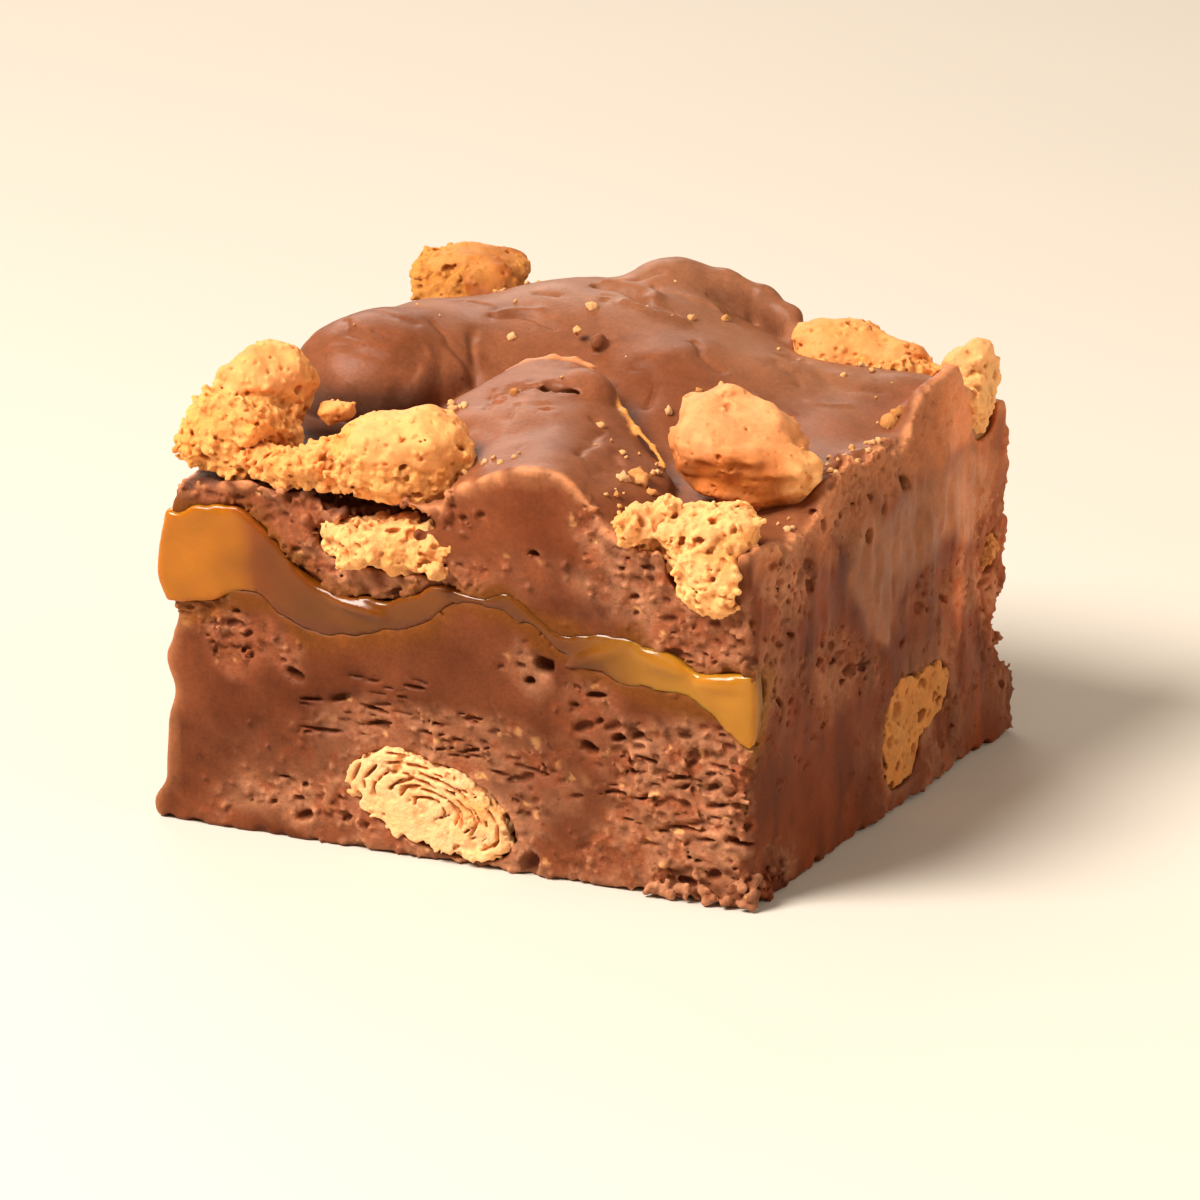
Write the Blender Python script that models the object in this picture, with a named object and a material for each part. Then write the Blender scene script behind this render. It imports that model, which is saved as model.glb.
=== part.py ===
"""One cut cube of layered fudge: a lower fudge layer, a caramel layer that runs
right through, an upper fudge layer with a folded top, and pieces of biscuit set
in the faces and on top. Metres, +Z up, row origin at the middle of the base."""

import math

import bmesh
import bpy
import numpy as np
from mathutils import Euler, Vector, noise

for old in list(bpy.data.objects):
    bpy.data.objects.remove(old, do_unlink=True)

MM = 0.001

# ---- driving sizes, millimetres ----
SIDE = 40.0  # nominal plan side of the cut cube
HALF = SIDE / 2
RIM = 24.0  # height of the cut faces
LEFT_FOOT = 1.0  # how far the left face flares out at the base
LEFT_LEAN = 0.5  # how far the left face leans in at the rim
BACK_FOOT = 0.9  # how far the back face flares out at the base
GAP = 0.3  # clearance between neighbouring solids
THIN = 0.9  # least thickness of the caramel layer
CELLS = 18  # divisions of each layer across and along
CENTRE = (-0.375, 0.525)  # middle of the whole plan outline in the cube's own axes

# ---- where the caramel lies: height of its top and underside along each face ----
# front and back run left to right, left and right run front to back, in mm from the corner
FRONT_TOP = [(0, 22.2), (5, 22.0), (8, 19.5), (12, 15.9), (16, 16.6), (21, 17.9), (26, 16.3), (31, 15.9), (36, 14.5), (40, 15.0)]
FRONT_LOW = [(0, 15.5), (5, 15.0), (8, 13.6), (13, 13.3), (18, 15.0), (22, 16.6), (26, 14.8), (31, 12.1), (36, 11.6), (40, 9.6)]
RIGHT_TOP = [(0, 15.0), (6, 16.2), (11, 19.5), (16, 20.0), (22, 19.0), (28, 18.6), (33, 21.9), (40, 22.0)]
RIGHT_LOW = [(0, 9.6), (3, 12.5), (7, 13.6), (11, 16.0), (17, 12.4), (23, 13.6), (27, 15.2), (33, 14.6), (40, 17.5)]
LEFT_TOP = [(0, 22.2), (6, 20.6), (13, 17.2), (20, 16.6), (27, 18.6), (34, 17.6), (40, 16.2)]
LEFT_LOW = [(0, 15.5), (6, 15.6), (13, 15.2), (20, 13.0), (27, 14.0), (34, 15.3), (40, 13.2)]
BACK_TOP = [(0, 16.2), (7, 17.0), (14, 19.2), (21, 18.4), (28, 16.6), (34, 19.4), (40, 22.0)]
BACK_LOW = [(0, 13.2), (7, 14.7), (14, 15.4), (21, 13.2), (28, 13.4), (34, 15.9), (40, 17.5)]

# ---- folds of the top: crest points (x, y, z), half width, roundness of the edge ----
FOLDS = {
    "roll": ([(-16.0, -3.5, 28.0), (-14.0, 4.0, 28.9), (-9.5, 10.5, 29.3), (-3.5, 15.5, 30.4), (3.5, 17.0, 29.0)], 6.6),
    "tongue": ([(-3.5, 6.0, 28.6), (-0.5, -5.0, 27.9), (3.0, -13.0, 27.1), (4.6, -21.0, 26.9)], 6.4),
    "shoulder": ([(1.0, 9.0, 28.6), (6.0, 11.0, 27.6)], 7.0),
    "sheet": ([(8.0, 9.0, 26.2), (14.0, 12.0, 25.4), (19.0, 16.0, 25.6)], 8.0),
    "lip": ([(19.6, 3.5, 26.4), (19.9, 8.5, 27.7), (19.6, 12.5, 27.2)], 2.4),
    "left_corner": ([(-17.0, -17.0, 24.6), (-12.0, -17.5, 24.8)], 4.5),
    "back_left": ([(-16.5, 12.0, 26.4), (-14.0, 17.5, 26.2)], 6.0),
}
BASIN = 23.6  # height of the top between the folds


def track(points, at):
    return float(np.interp(at, [p[0] for p in points], [p[1] for p in points]))


def soft_max(values, k=0.8):
    top = max(values)
    return top + math.log(sum(math.exp((v - top) / k) for v in values)) * k


def coons(front, right, back, left, x, y):
    """Height over the plan that meets each face at its own profile."""
    s, t = (x + HALF) / SIDE, (y + HALF) / SIDE
    f, b = track(front, s * SIDE), track(back, s * SIDE)
    l, r = track(left, t * SIDE), track(right, t * SIDE)
    corners = (
        (1 - s) * (1 - t) * front[0][1] + s * (1 - t) * front[-1][1]
        + (1 - s) * t * back[0][1] + s * t * back[-1][1]
    )
    return (1 - t) * f + t * b + (1 - s) * l + s * r - corners


def caramel_low(x, y):
    return coons(FRONT_LOW, RIGHT_LOW, BACK_LOW, LEFT_LOW, x, y)


def caramel_top(x, y):
    high = coons(FRONT_TOP, RIGHT_TOP, BACK_TOP, LEFT_TOP, x, y)
    return max(high, caramel_low(x, y) + THIN)


def fold_height(crest, half_width, x, y):
    """Height of one rounded fold that follows its crest line."""
    best = -1e9
    for (ax, ay, az), (bx, by, bz) in zip(crest, crest[1:]):
        dx, dy = bx - ax, by - ay
        t = ((x - ax) * dx + (y - ay) * dy) / (dx * dx + dy * dy)
        t = min(max(t, 0.0), 1.0)
        away = math.hypot(x - ax - t * dx, y - ay - t * dy) / half_width
        crest_z = az + t * (bz - az)
        fall = math.sqrt(max(0.0, 1 - away * away)) if away < 1 else 0.0
        best = max(best, BASIN - 3 + (crest_z - BASIN + 3) * fall - 2 * max(0.0, away - 1))
    return best


def top_height(x, y):
    heights = [fold_height(crest, wide, x, y) for crest, wide in FOLDS.values()]
    ripple = 0.25 * noise.noise(Vector((x * 0.16, y * 0.16, 3.1)))
    return soft_max(heights + [BASIN]) + ripple


def outline(s, t, z):
    """Plan position of a point at share s across and t along, at height z: the cut faces are a little out of true."""
    share = z / RIM
    left = -HALF - LEFT_FOOT * (1 - share) ** 2 + LEFT_LEAN * max(0.0, share) * (0.6 + 0.4 * math.cos(3 * t))
    right = HALF + 0.25 * math.sin(2.4 * t + 0.12 * z)
    front = -HALF + 0.15 * math.sin(5 * s + 0.2 * z)
    back = HALF + BACK_FOOT * (1 - share) + 0.3 * math.sin(4 * s + 0.25 * z)
    return left + s * (right - left), front + t * (back - front)


def collection_named(name, hidden=False):
    made = bpy.data.collections.new(name)
    made.hide_render = hidden
    bpy.context.scene.collection.children.link(made)
    return made


def material_named(name, colour, roughness):
    made = bpy.data.materials.new(name)
    made.use_nodes = True
    shader = made.node_tree.nodes["Principled BSDF"]
    shader.inputs["Base Color"].default_value = (*colour, 1.0)
    shader.inputs["Roughness"].default_value = roughness
    shader.inputs["Metallic"].default_value = 0.0
    return made


FUDGE_CUBE = collection_named("fudge_cube")
CUTTERS = collection_named("cutters", hidden=True)


def object_of(name, mesh, colour=None, roughness=0.5, cutter=False):
    made = bpy.data.objects.new(name, mesh)
    if cutter:
        made.hide_render = True
        made.display_type = "WIRE"
        CUTTERS.objects.link(made)
    else:
        mesh.materials.append(material_named(name, colour, roughness))
        FUDGE_CUBE.objects.link(made)
    return made


def layer(name, low, high, rows, colour, roughness):
    """One layer of the cube between two height functions, with flat divisions up its faces."""
    bm = bmesh.new()
    bmesh.ops.create_grid(bm, x_segments=CELLS, y_segments=CELLS, size=0.5)
    faces = bm.faces[:]
    for row in range(rows):
        grown = bmesh.ops.extrude_face_region(bm, geom=faces)["geom"]
        if row:
            bmesh.ops.delete(bm, geom=faces, context="FACES_ONLY")
        faces = [g for g in grown if isinstance(g, bmesh.types.BMFace)]
        risen = [g for g in grown if isinstance(g, bmesh.types.BMVert)]
        bmesh.ops.translate(bm, verts=risen, vec=(0, 0, 1 / rows))
    for v in bm.verts:
        s, t, up = v.co.x + 0.5, v.co.y + 0.5, v.co.z
        x, y = (s - 0.5) * SIDE, (t - 0.5) * SIDE
        z_low, z_high = low(x, y), high(x, y)
        z = z_low + up * (z_high - z_low)
        px, py = outline(s, t, z)
        v.co = Vector((px - CENTRE[0], py - CENTRE[1], z)) * MM
    bmesh.ops.recalc_face_normals(bm, faces=bm.faces)
    mesh = bpy.data.meshes.new(name)
    bm.to_mesh(mesh)
    bm.free()
    return object_of(name, mesh, colour, roughness)


def lump_mesh(name, spec, swell):
    """A knobbly rounded lump; swell moves its whole surface outwards."""
    bm = bmesh.new()
    bmesh.ops.create_icosphere(bm, subdivisions=spec["fine"], radius=1.0)
    turn = Euler([math.radians(a) for a in spec["turn"]]).to_matrix()
    rx, ry, rz = spec["radii"]
    for v in bm.verts:
        d = v.co.normalized()
        e = spec["square"]
        p = Vector([math.copysign(abs(c) ** e, c) for c in d])
        bump = 1 + spec["rough"] * noise.noise(d * 1.7 + Vector((spec["seed"], 0, 7.0)))
        v.co = Vector((p.x * rx, p.y * ry, p.z * rz)) * bump
    bm.normal_update()
    moved = [v.co + v.normal * swell for v in bm.verts]
    centre = Vector(spec["at"]) - Vector((*CENTRE, 0))
    for v, co in zip(bm.verts, moved):
        v.co = (turn @ co + centre) * MM
    mesh = bpy.data.meshes.new(name)
    bm.to_mesh(mesh)
    bm.free()
    return mesh


def block(name, low, high):
    """A plain box from corner to corner, used to trim lumps flush with the cut faces."""
    bm = bmesh.new()
    bmesh.ops.create_cube(bm, size=1.0)
    size = [h - l for l, h in zip(low, high)]
    mid = [(h + l) / 2 for l, h in zip(low, high)]
    for v in bm.verts:
        v.co = Vector([
            (c * d + m - o) * MM for c, d, m, o in zip(v.co, size, mid, (*CENTRE, 0))
        ])
    mesh = bpy.data.meshes.new(name)
    bm.to_mesh(mesh)
    bm.free()
    return object_of(name, mesh, cutter=True)


def boolean(target, other, kind):
    cut = target.modifiers.new(other.name, "BOOLEAN")
    cut.operation = kind
    cut.solver = "EXACT"
    cut.object = other


GOLD, TOAST, PALE = (0.72, 0.42, 0.16), (0.60, 0.30, 0.10), (0.80, 0.56, 0.27)
FLUSH = 0.1  # how far a biscuit cut with the cube stands out of the face

# Biscuit pieces: where the middle is, half sizes, turn in degrees, how square (1 round,
# lower squarer), how knobbly, and which layer holds it. "trim" cuts it flush with the faces.
BISCUITS = {
    "biscuit_corner": dict(at=(-16.4, -15.2, 26.7), radii=(4.1, 4.8, 3.8), turn=(0, -18, 20), square=0.85, rough=0.35, seed=1.0, fine=3, held="fudge_upper", trim=True, colour=TOAST),
    "biscuit_split_top": dict(at=(-5.7, -15.6, 26.4), radii=(5.9, 5.0, 2.9), turn=(12, 10, -8), square=0.78, rough=0.25, seed=2.0, fine=3, held="fudge_upper", trim=True, colour=GOLD),
    "biscuit_split_base": dict(at=(-4.8, -17.0, 20.7), radii=(5.2, 4.6, 1.9), turn=(0, 2, 4), square=0.75, rough=0.25, seed=3.0, fine=2, held="fudge_upper", trim=True, colour=PALE),
    "biscuit_chip": dict(at=(-11.4, -9.0, 26.6), radii=(2.1, 1.4, 1.0), turn=(0, -10, 15), square=0.85, rough=0.3, seed=4.0, fine=2, held="fudge_upper", trim=False, colour=GOLD),
    "biscuit_pillow": dict(at=(14.2, -10.4, 26.7), radii=(5.8, 4.2, 3.2), turn=(4, 14, 14), square=0.72, rough=0.22, seed=5.0, fine=3, held="fudge_upper", trim=False, colour=TOAST),
    "biscuit_front_right": dict(at=(15.4, -18.4, 21.9), radii=(4.9, 3.2, 3.2), turn=(0, 22, 0), square=0.8, rough=0.4, seed=6.0, fine=3, held="fudge_upper", trim=True, colour=PALE),
    "biscuit_back_left": dict(at=(-14.8, 13.4, 28.2), radii=(4.4, 3.4, 2.6), turn=(5, 6, 12), square=0.8, rough=0.3, seed=7.0, fine=2, held="fudge_upper", trim=False, colour=GOLD),
    "biscuit_back_right": dict(at=(10.8, 15.8, 26.6), radii=(4.7, 2.9, 2.3), turn=(0, 12, -18), square=0.8, rough=0.3, seed=8.0, fine=2, held="fudge_upper", trim=False, colour=GOLD),
    "biscuit_rear_corner": dict(at=(18.2, 16.9, 25.4), radii=(2.3, 2.6, 3.1), turn=(0, 0, 10), square=0.8, rough=0.3, seed=9.0, fine=2, held="fudge_upper", trim=True, colour=GOLD),
    "biscuit_inset_front": dict(at=(-0.8, -17.6, 3.9), radii=(6.4, 4.8, 3.0), turn=(0, 14, 0), square=0.8, rough=0.25, seed=10.0, fine=3, held="fudge_lower", trim=True, colour=PALE),
    "biscuit_inset_right": dict(at=(17.8, 5.6, 4.9), radii=(4.4, 5.6, 3.7), turn=(-14, 0, 0), square=0.8, rough=0.3, seed=11.0, fine=3, held="fudge_lower", trim=True, colour=GOLD),
    "biscuit_inset_rim": dict(at=(18.9, 17.6, 12.3), radii=(1.9, 1.7, 1.6), turn=(0, 0, 0), square=0.85, rough=0.3, seed=12.0, fine=2, held="fudge_lower", trim=True, colour=GOLD),
    "biscuit_inset_left": dict(at=(-18.6, 4.5, 6.4), radii=(4.2, 5.4, 2.9), turn=(9, 0, 0), square=0.8, rough=0.3, seed=13.0, fine=2, held="fudge_lower", trim=True, colour=PALE),
    "biscuit_inset_back": dict(at=(-5.5, 18.6, 5.6), radii=(5.6, 4.0, 3.0), turn=(0, -8, 0), square=0.8, rough=0.3, seed=14.0, fine=2, held="fudge_lower", trim=True, colour=PALE),
}

LAYERS = {
    "fudge_lower": layer("fudge_lower", lambda x, y: 0.0, lambda x, y: caramel_low(x, y) - GAP / 2, 3, (0.20, 0.085, 0.05), 0.55),
    "caramel_layer": layer("caramel_layer", lambda x, y: caramel_low(x, y) + GAP / 2, lambda x, y: caramel_top(x, y) - GAP / 2, 1, (0.62, 0.30, 0.07), 0.25),
    "fudge_upper": layer("fudge_upper", lambda x, y: caramel_top(x, y) + GAP / 2, top_height, 2, (0.20, 0.085, 0.05), 0.45),
}

TRIM = block("trim_block", (-HALF - 0.5, -HALF - FLUSH, 0.4), (HALF + FLUSH, HALF + 0.6, 40.0))

for name, spec in BISCUITS.items():
    piece = object_of(name, lump_mesh(name, spec, 0.0), spec["colour"], 0.8)
    if spec["trim"]:
        boolean(piece, TRIM, "INTERSECT")
    pocket = object_of("pocket_" + name, lump_mesh("pocket_" + name, spec, GAP), cutter=True)
    boolean(LAYERS[spec["held"]], pocket, "DIFFERENCE")
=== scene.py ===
import math

import bpy
import numpy as np
import openvdb
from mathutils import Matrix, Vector


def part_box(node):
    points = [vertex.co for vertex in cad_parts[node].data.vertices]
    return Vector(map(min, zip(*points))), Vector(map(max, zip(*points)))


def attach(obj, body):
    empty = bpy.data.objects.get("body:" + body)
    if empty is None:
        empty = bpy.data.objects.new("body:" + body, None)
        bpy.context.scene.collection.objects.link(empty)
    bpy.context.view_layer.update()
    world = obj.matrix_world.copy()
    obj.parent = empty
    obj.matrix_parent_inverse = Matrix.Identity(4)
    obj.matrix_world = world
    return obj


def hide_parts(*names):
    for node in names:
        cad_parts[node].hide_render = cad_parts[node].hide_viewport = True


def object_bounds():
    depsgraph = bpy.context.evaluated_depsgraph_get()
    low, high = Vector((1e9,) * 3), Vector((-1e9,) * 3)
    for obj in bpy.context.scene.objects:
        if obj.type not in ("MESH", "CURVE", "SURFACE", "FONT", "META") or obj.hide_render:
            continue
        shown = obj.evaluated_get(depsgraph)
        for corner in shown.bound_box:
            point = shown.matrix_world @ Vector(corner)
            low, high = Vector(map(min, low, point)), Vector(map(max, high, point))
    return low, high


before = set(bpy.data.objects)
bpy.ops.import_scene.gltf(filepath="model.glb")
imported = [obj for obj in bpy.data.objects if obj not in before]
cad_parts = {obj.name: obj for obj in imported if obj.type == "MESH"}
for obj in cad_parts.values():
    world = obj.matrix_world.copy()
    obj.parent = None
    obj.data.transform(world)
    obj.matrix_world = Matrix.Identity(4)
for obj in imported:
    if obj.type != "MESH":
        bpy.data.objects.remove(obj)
cad_lo, cad_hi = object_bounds()

MM = 0.001
HALF = 20.0
SPAN = 35.0  # half of the noise domain, mm
BODY_VOXEL = 0.16
LUMP_VOXEL = 0.12

# The model is shaped in the cube's own axes, in mm; this takes it to the row frame.
OWN_CENTRE = (-0.375, 0.525)
SHIFT = np.array([
    (cad_lo[0] + cad_hi[0]) / 2 / MM - OWN_CENTRE[0],
    (cad_lo[1] + cad_hi[1]) / 2 / MM - OWN_CENTRE[1],
    cad_lo[2] / MM,
])


def node_box(name):
    """Middle and half size of a CAD node in the cube's own axes, mm."""
    lo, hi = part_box(name)
    lo = np.array(lo) / MM - SHIFT
    hi = np.array(hi) / MM - SHIFT
    return (lo + hi) / 2, (hi - lo) / 2


# ------------------------------------------------------------------ numbers

def smoothstep(a, b, x):
    t = np.clip((x - a) / (b - a), 0.0, 1.0)
    return t * t * (3 - 2 * t)


def smin(a, b, k):
    h = np.clip(0.5 + 0.5 * (b - a) / k, 0.0, 1.0)
    return b + (a - b) * h - k * h * (1 - h)


def smax(a, b, k):
    return -smin(-a, -b, k)


def curve(points, at):
    """Smooth track through (position, value) points."""
    xs = np.array([p[0] for p in points], np.float32)
    ys = np.array([p[1] for p in points], np.float32)
    fine = np.linspace(xs[0], xs[-1], 241)
    raw = np.interp(fine, xs, ys)
    step = (xs[-1] - xs[0]) / 240
    wide = max(1, int(round(0.9 / step)))
    kernel = np.hanning(2 * wide + 3)[1:-1]
    kernel /= kernel.sum()
    pad = len(kernel) // 2
    padded = np.concatenate([2 * raw[0] - raw[1:pad + 1][::-1], raw, 2 * raw[-1] - raw[-pad - 1:-1][::-1]])
    return np.interp(at, fine, np.convolve(padded, kernel, "valid")).astype(np.float32)


class Grid:
    """A box of voxels with its coordinates as broadcasting arrays."""

    def __init__(self, lo, hi, h):
        self.lo, self.h = np.array(lo, np.float32), float(h)
        self.n = [int(math.ceil((b - a) / h)) + 1 for a, b in zip(lo, hi)]
        self.axes = [np.float32(a) + np.float32(h) * np.arange(n, dtype=np.float32) for a, n in zip(lo, self.n)]
        self.X = self.axes[0][:, None, None]
        self.Y = self.axes[1][None, :, None]
        self.Z = self.axes[2][None, None, :]


def spline_matrix(coords, scale, cells):
    t = (np.asarray(coords, np.float64) + SPAN) / scale
    i = np.floor(t).astype(int)
    f = t - i
    w = np.stack([(1 - f) ** 3, 3 * f ** 3 - 6 * f ** 2 + 4, -3 * f ** 3 + 3 * f ** 2 + 3 * f + 1, f ** 3]) / 6
    m = np.zeros((len(t), cells), np.float32)
    rows = np.arange(len(t))
    for k in range(4):
        np.add.at(m, (rows, np.clip(i + k, 0, cells - 1)), w[k].astype(np.float32))
    return m


def noise3(grid, scale, seed):
    """Smooth noise of unit deviation on a grid; it is fixed in space, so two grids agree."""
    scales = (scale,) * 3 if np.isscalar(scale) else scale
    cells = [int(2 * SPAN / s) + 5 for s in scales]
    mats = []
    used = []
    for a, s, c in zip(grid.axes, scales, cells):
        m = spline_matrix(a, s, c)
        cols = np.nonzero(m.any(0))[0]
        used.append((cols[0], cols[-1] + 1))
        mats.append(m[:, cols[0]:cols[-1] + 1])
    rng = np.random.default_rng(seed)
    raw = rng.standard_normal(cells, dtype=np.float32)
    raw = raw[used[0][0]:used[0][1], used[1][0]:used[1][1], used[2][0]:used[2][1]]
    out = np.tensordot(mats[0], raw, (1, 0))
    out = np.einsum("jb,ibc->ijc", mats[1], out, optimize=True)
    out = out @ mats[2].T
    return out * np.float32(3.015)


def noise2(a, b, scale, seed):
    """Smooth plane noise of unit deviation over the coordinate lists a and b."""
    scales = (scale,) * 2 if np.isscalar(scale) else scale
    cells = [int(2 * SPAN / s) + 5 for s in scales]
    raw = np.random.default_rng(seed).standard_normal(cells, dtype=np.float32)
    out = spline_matrix(a, scales[0], cells[0]) @ raw @ spline_matrix(b, scales[1], cells[1]).T
    return out * np.float32(2.087)


def ellipsoid(dx, dy, dz, radii):
    a, b, c = radii
    k0 = np.sqrt((dx / a) ** 2 + (dy / b) ** 2 + (dz / c) ** 2) + 1e-6
    k1 = np.sqrt((dx / a ** 2) ** 2 + (dy / b ** 2) ** 2 + (dz / c ** 2) ** 2) + 1e-6
    return k0 * (k0 - 1) / k1


def turn_matrix(rx, ry, rz):
    """Rotation by degrees about x, then y, then z."""
    cx, sx = math.cos(math.radians(rx)), math.sin(math.radians(rx))
    cy, sy = math.cos(math.radians(ry)), math.sin(math.radians(ry))
    cz, sz = math.cos(math.radians(rz)), math.sin(math.radians(rz))
    mx = np.array([[1, 0, 0], [0, cx, -sx], [0, sx, cx]])
    my = np.array([[cy, 0, sy], [0, 1, 0], [-sy, 0, cy]])
    mz = np.array([[cz, -sz, 0], [sz, cz, 0], [0, 0, 1]])
    return mz @ my @ mx


def stamp(field, grid, at, radii, turn=None, cut=True, soft=0.0):
    """Cuts a small ellipsoid out of the field, or adds one to it, touching only the voxels near it."""
    reach = max(radii) + 3 * grid.h + soft
    i0 = [max(0, int((c - reach - l) / grid.h)) for c, l in zip(at, grid.lo)]
    i1 = [min(n, int((c + reach - l) / grid.h) + 2) for c, l, n in zip(at, grid.lo, grid.n)]
    if any(b <= a for a, b in zip(i0, i1)):
        return
    sub = field[i0[0]:i1[0], i0[1]:i1[1], i0[2]:i1[2]]
    dx = grid.X[i0[0]:i1[0]] - at[0]
    dy = grid.Y[:, i0[1]:i1[1]] - at[1]
    dz = grid.Z[:, :, i0[2]:i1[2]] - at[2]
    if turn is not None:
        r = turn.T
        dx, dy, dz = (
            r[0, 0] * dx + r[0, 1] * dy + r[0, 2] * dz,
            r[1, 0] * dx + r[1, 1] * dy + r[1, 2] * dz,
            r[2, 0] * dx + r[2, 1] * dy + r[2, 2] * dz,
        )
    d = ellipsoid(dx, dy, dz, radii)
    if soft:
        sub[...] = smax(sub, -d, soft) if cut else smin(sub, d, soft)
    elif cut:
        np.maximum(sub, -d, out=sub)
    else:
        np.minimum(sub, d, out=sub)


def blur(f, n):
    """Box mean over 2n + 1 voxels each way."""
    for axis in range(3):
        f = np.moveaxis(f, axis, 0)
        c = np.cumsum(np.concatenate([np.repeat(f[:1], n + 1, 0), f, np.repeat(f[-1:], n, 0)]), 0, dtype=np.float64)
        f = ((c[2 * n + 1:] - c[:-2 * n - 1]) / (2 * n + 1)).astype(np.float32)
        f = np.moveaxis(f, 0, axis)
    return f


def cavity_of(f, h, reach=0.45):
    """Field that is positive in pits and negative on peaks, about -1 to 1 at the surface."""
    n = max(1, int(round(reach / h)))
    return -blur(np.clip(f, -0.8, 0.8), n) / 0.28


def scatter(f, g, weight, density, sizes, seed, cut=False, flat=(1, 1, 1), tilt=(0, 0, 0), soft=0.0, sink=0.0):
    """Stamps small ellipsoids on the surface of f, this many per square mm where weight is 1."""
    rng = np.random.default_rng(seed)
    at = np.argwhere((np.abs(f) < 0.55 * g.h) & (weight > 0.02))
    if not len(at):
        return
    w = weight[tuple(at.T)].astype(np.float64)
    count = rng.poisson(density * w.sum() * g.h ** 2 * 0.92)
    if count == 0:
        return
    picks = at[rng.choice(len(at), count, p=w / w.sum())]
    centres = g.lo + (picks + rng.uniform(-0.5, 0.5, picks.shape)) * g.h
    if sink:
        ends = np.array(f.shape) - 1
        slope = np.stack([
            f[tuple(np.minimum(picks + step, ends).T)] - f[tuple(np.maximum(picks - step, 0).T)]
            for step in np.eye(3, dtype=int)
        ], 1)
        slope /= np.linalg.norm(slope, axis=1, keepdims=True) + 1e-6
    lo, hi = sizes
    size = lo * (hi / lo) ** (rng.random(count) ** 1.7)
    if sink:
        centres = centres - slope * (sink * size)[:, None]
    for c, s, turns, mult in zip(centres, size, rng.uniform(-1, 1, (count, 3)), rng.uniform(0.75, 1.3, (count, 3))):
        radii = tuple(max(0.55 * g.h, float(s * k * m)) for k, m in zip(flat, mult))
        turn = turn_matrix(*(t * k for t, k in zip(tilt, turns)))
        stamp(f, g, tuple(c), radii, turn, cut=cut, soft=soft)


# ------------------------------------------------------------------ meshes

def keep_largest(points, tris, quads):
    """Leaves only the biggest connected piece, so no crumb floats and no bubble is sealed inside."""
    n = len(points)
    edges = [quads[:, [0, 1]], quads[:, [1, 2]], quads[:, [2, 3]]]
    if len(tris):
        edges += [tris[:, [0, 1]], tris[:, [1, 2]]]
    e = np.concatenate(edges).astype(np.int64)
    label = np.arange(n)
    while True:
        low = np.minimum(label[e[:, 0]], label[e[:, 1]])
        new = label.copy()
        np.minimum.at(new, label[e[:, 0]], low)
        np.minimum.at(new, label[e[:, 1]], low)
        new = new[new]
        new = new[new]
        if (new == label).all():
            break
        label = new
    names, counts = np.unique(label, return_counts=True)
    keep = label == names[counts.argmax()]
    index = np.cumsum(keep) - 1
    tris = index[tris[keep[tris[:, 0]]]] if len(tris) else tris
    quads = index[quads[keep[quads[:, 0]]]]
    return points[keep], tris, quads


def sample(field, grid, points):
    """Reads a grid field at points, in own axes mm."""
    t = (points - grid.lo) / grid.h
    n = np.array(field.shape)
    t = np.clip(t, 0, n - 1.001)
    i = t.astype(np.int32)
    f = (t - i).astype(np.float32)
    out = np.zeros(len(points), np.float32)
    for a in (0, 1):
        wa = f[:, 0] if a else 1 - f[:, 0]
        for b in (0, 1):
            wb = f[:, 1] if b else 1 - f[:, 1]
            for c in (0, 1):
                wc = f[:, 2] if c else 1 - f[:, 2]
                ia = np.minimum(i[:, 0] + a, n[0] - 1)
                ib = np.minimum(i[:, 1] + b, n[1] - 1)
                ic = np.minimum(i[:, 2] + c, n[2] - 1)
                out += wa * wb * wc * field[ia, ib, ic]
    return out


def mesh_of(name, field, grid, adaptivity=0.0, largest=True, collection=None):
    """Closed mesh of the field's zero surface. Returns the object and its points in own axes, mm."""
    level = openvdb.FloatGrid(3.0)
    level.copyFromArray(np.ascontiguousarray(np.clip(field / grid.h, -3, 3), dtype=np.float32))
    points, tris, quads = level.convertToPolygons(0.0, adaptivity)
    tris = np.asarray(tris, np.int64).reshape(-1, 3)
    quads = np.asarray(quads, np.int64).reshape(-1, 4)
    if largest:
        points, tris, quads = keep_largest(points, tris, quads)
    own = points * grid.h + grid.lo
    return object_of(name, own, tris, quads), own


def object_of(name, own, tris, quads):
    mesh = bpy.data.meshes.new(name)
    mesh.vertices.add(len(own))
    mesh.vertices.foreach_set("co", ((own + SHIFT) * MM).astype(np.float32).ravel())
    loops = np.concatenate([tris.ravel(), quads.ravel()]).astype(np.int32)
    starts = np.concatenate([np.arange(len(tris)) * 3, len(tris) * 3 + np.arange(len(quads)) * 4]).astype(np.int32)
    mesh.loops.add(len(loops))
    mesh.loops.foreach_set("vertex_index", loops)
    mesh.polygons.add(len(starts))
    mesh.polygons.foreach_set("loop_start", starts)
    mesh.polygons.foreach_set("use_smooth", np.ones(len(starts), bool))
    mesh.update(calc_edges=True)
    mesh.validate()
    # the polygons come inward or outward by the tool's own rule, so the volume's sign settles it
    volume = signed_volume(own, tris, quads)
    if volume < 0:
        mesh.flip_normals()
    obj = bpy.data.objects.new(name, mesh)
    bpy.context.scene.collection.objects.link(obj)
    return obj


def signed_volume(p, tris, quads):
    total = 0.0
    if len(tris):
        a, b, c = p[tris[:, 0]], p[tris[:, 1]], p[tris[:, 2]]
        total += np.einsum("ij,ij->i", a, np.cross(b, c)).sum()
    if len(quads):
        a, b, c, d = (p[quads[:, k]] for k in range(4))
        total += np.einsum("ij,ij->i", a, np.cross(b, c)).sum()
        total += np.einsum("ij,ij->i", a, np.cross(c, d)).sum()
    return total


def attribute(obj, name, values):
    layer = obj.data.attributes.new(name, "FLOAT", "POINT")
    layer.data.foreach_set("value", np.asarray(values, np.float32))


# ------------------------------------------------------------------ the cube's form

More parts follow.
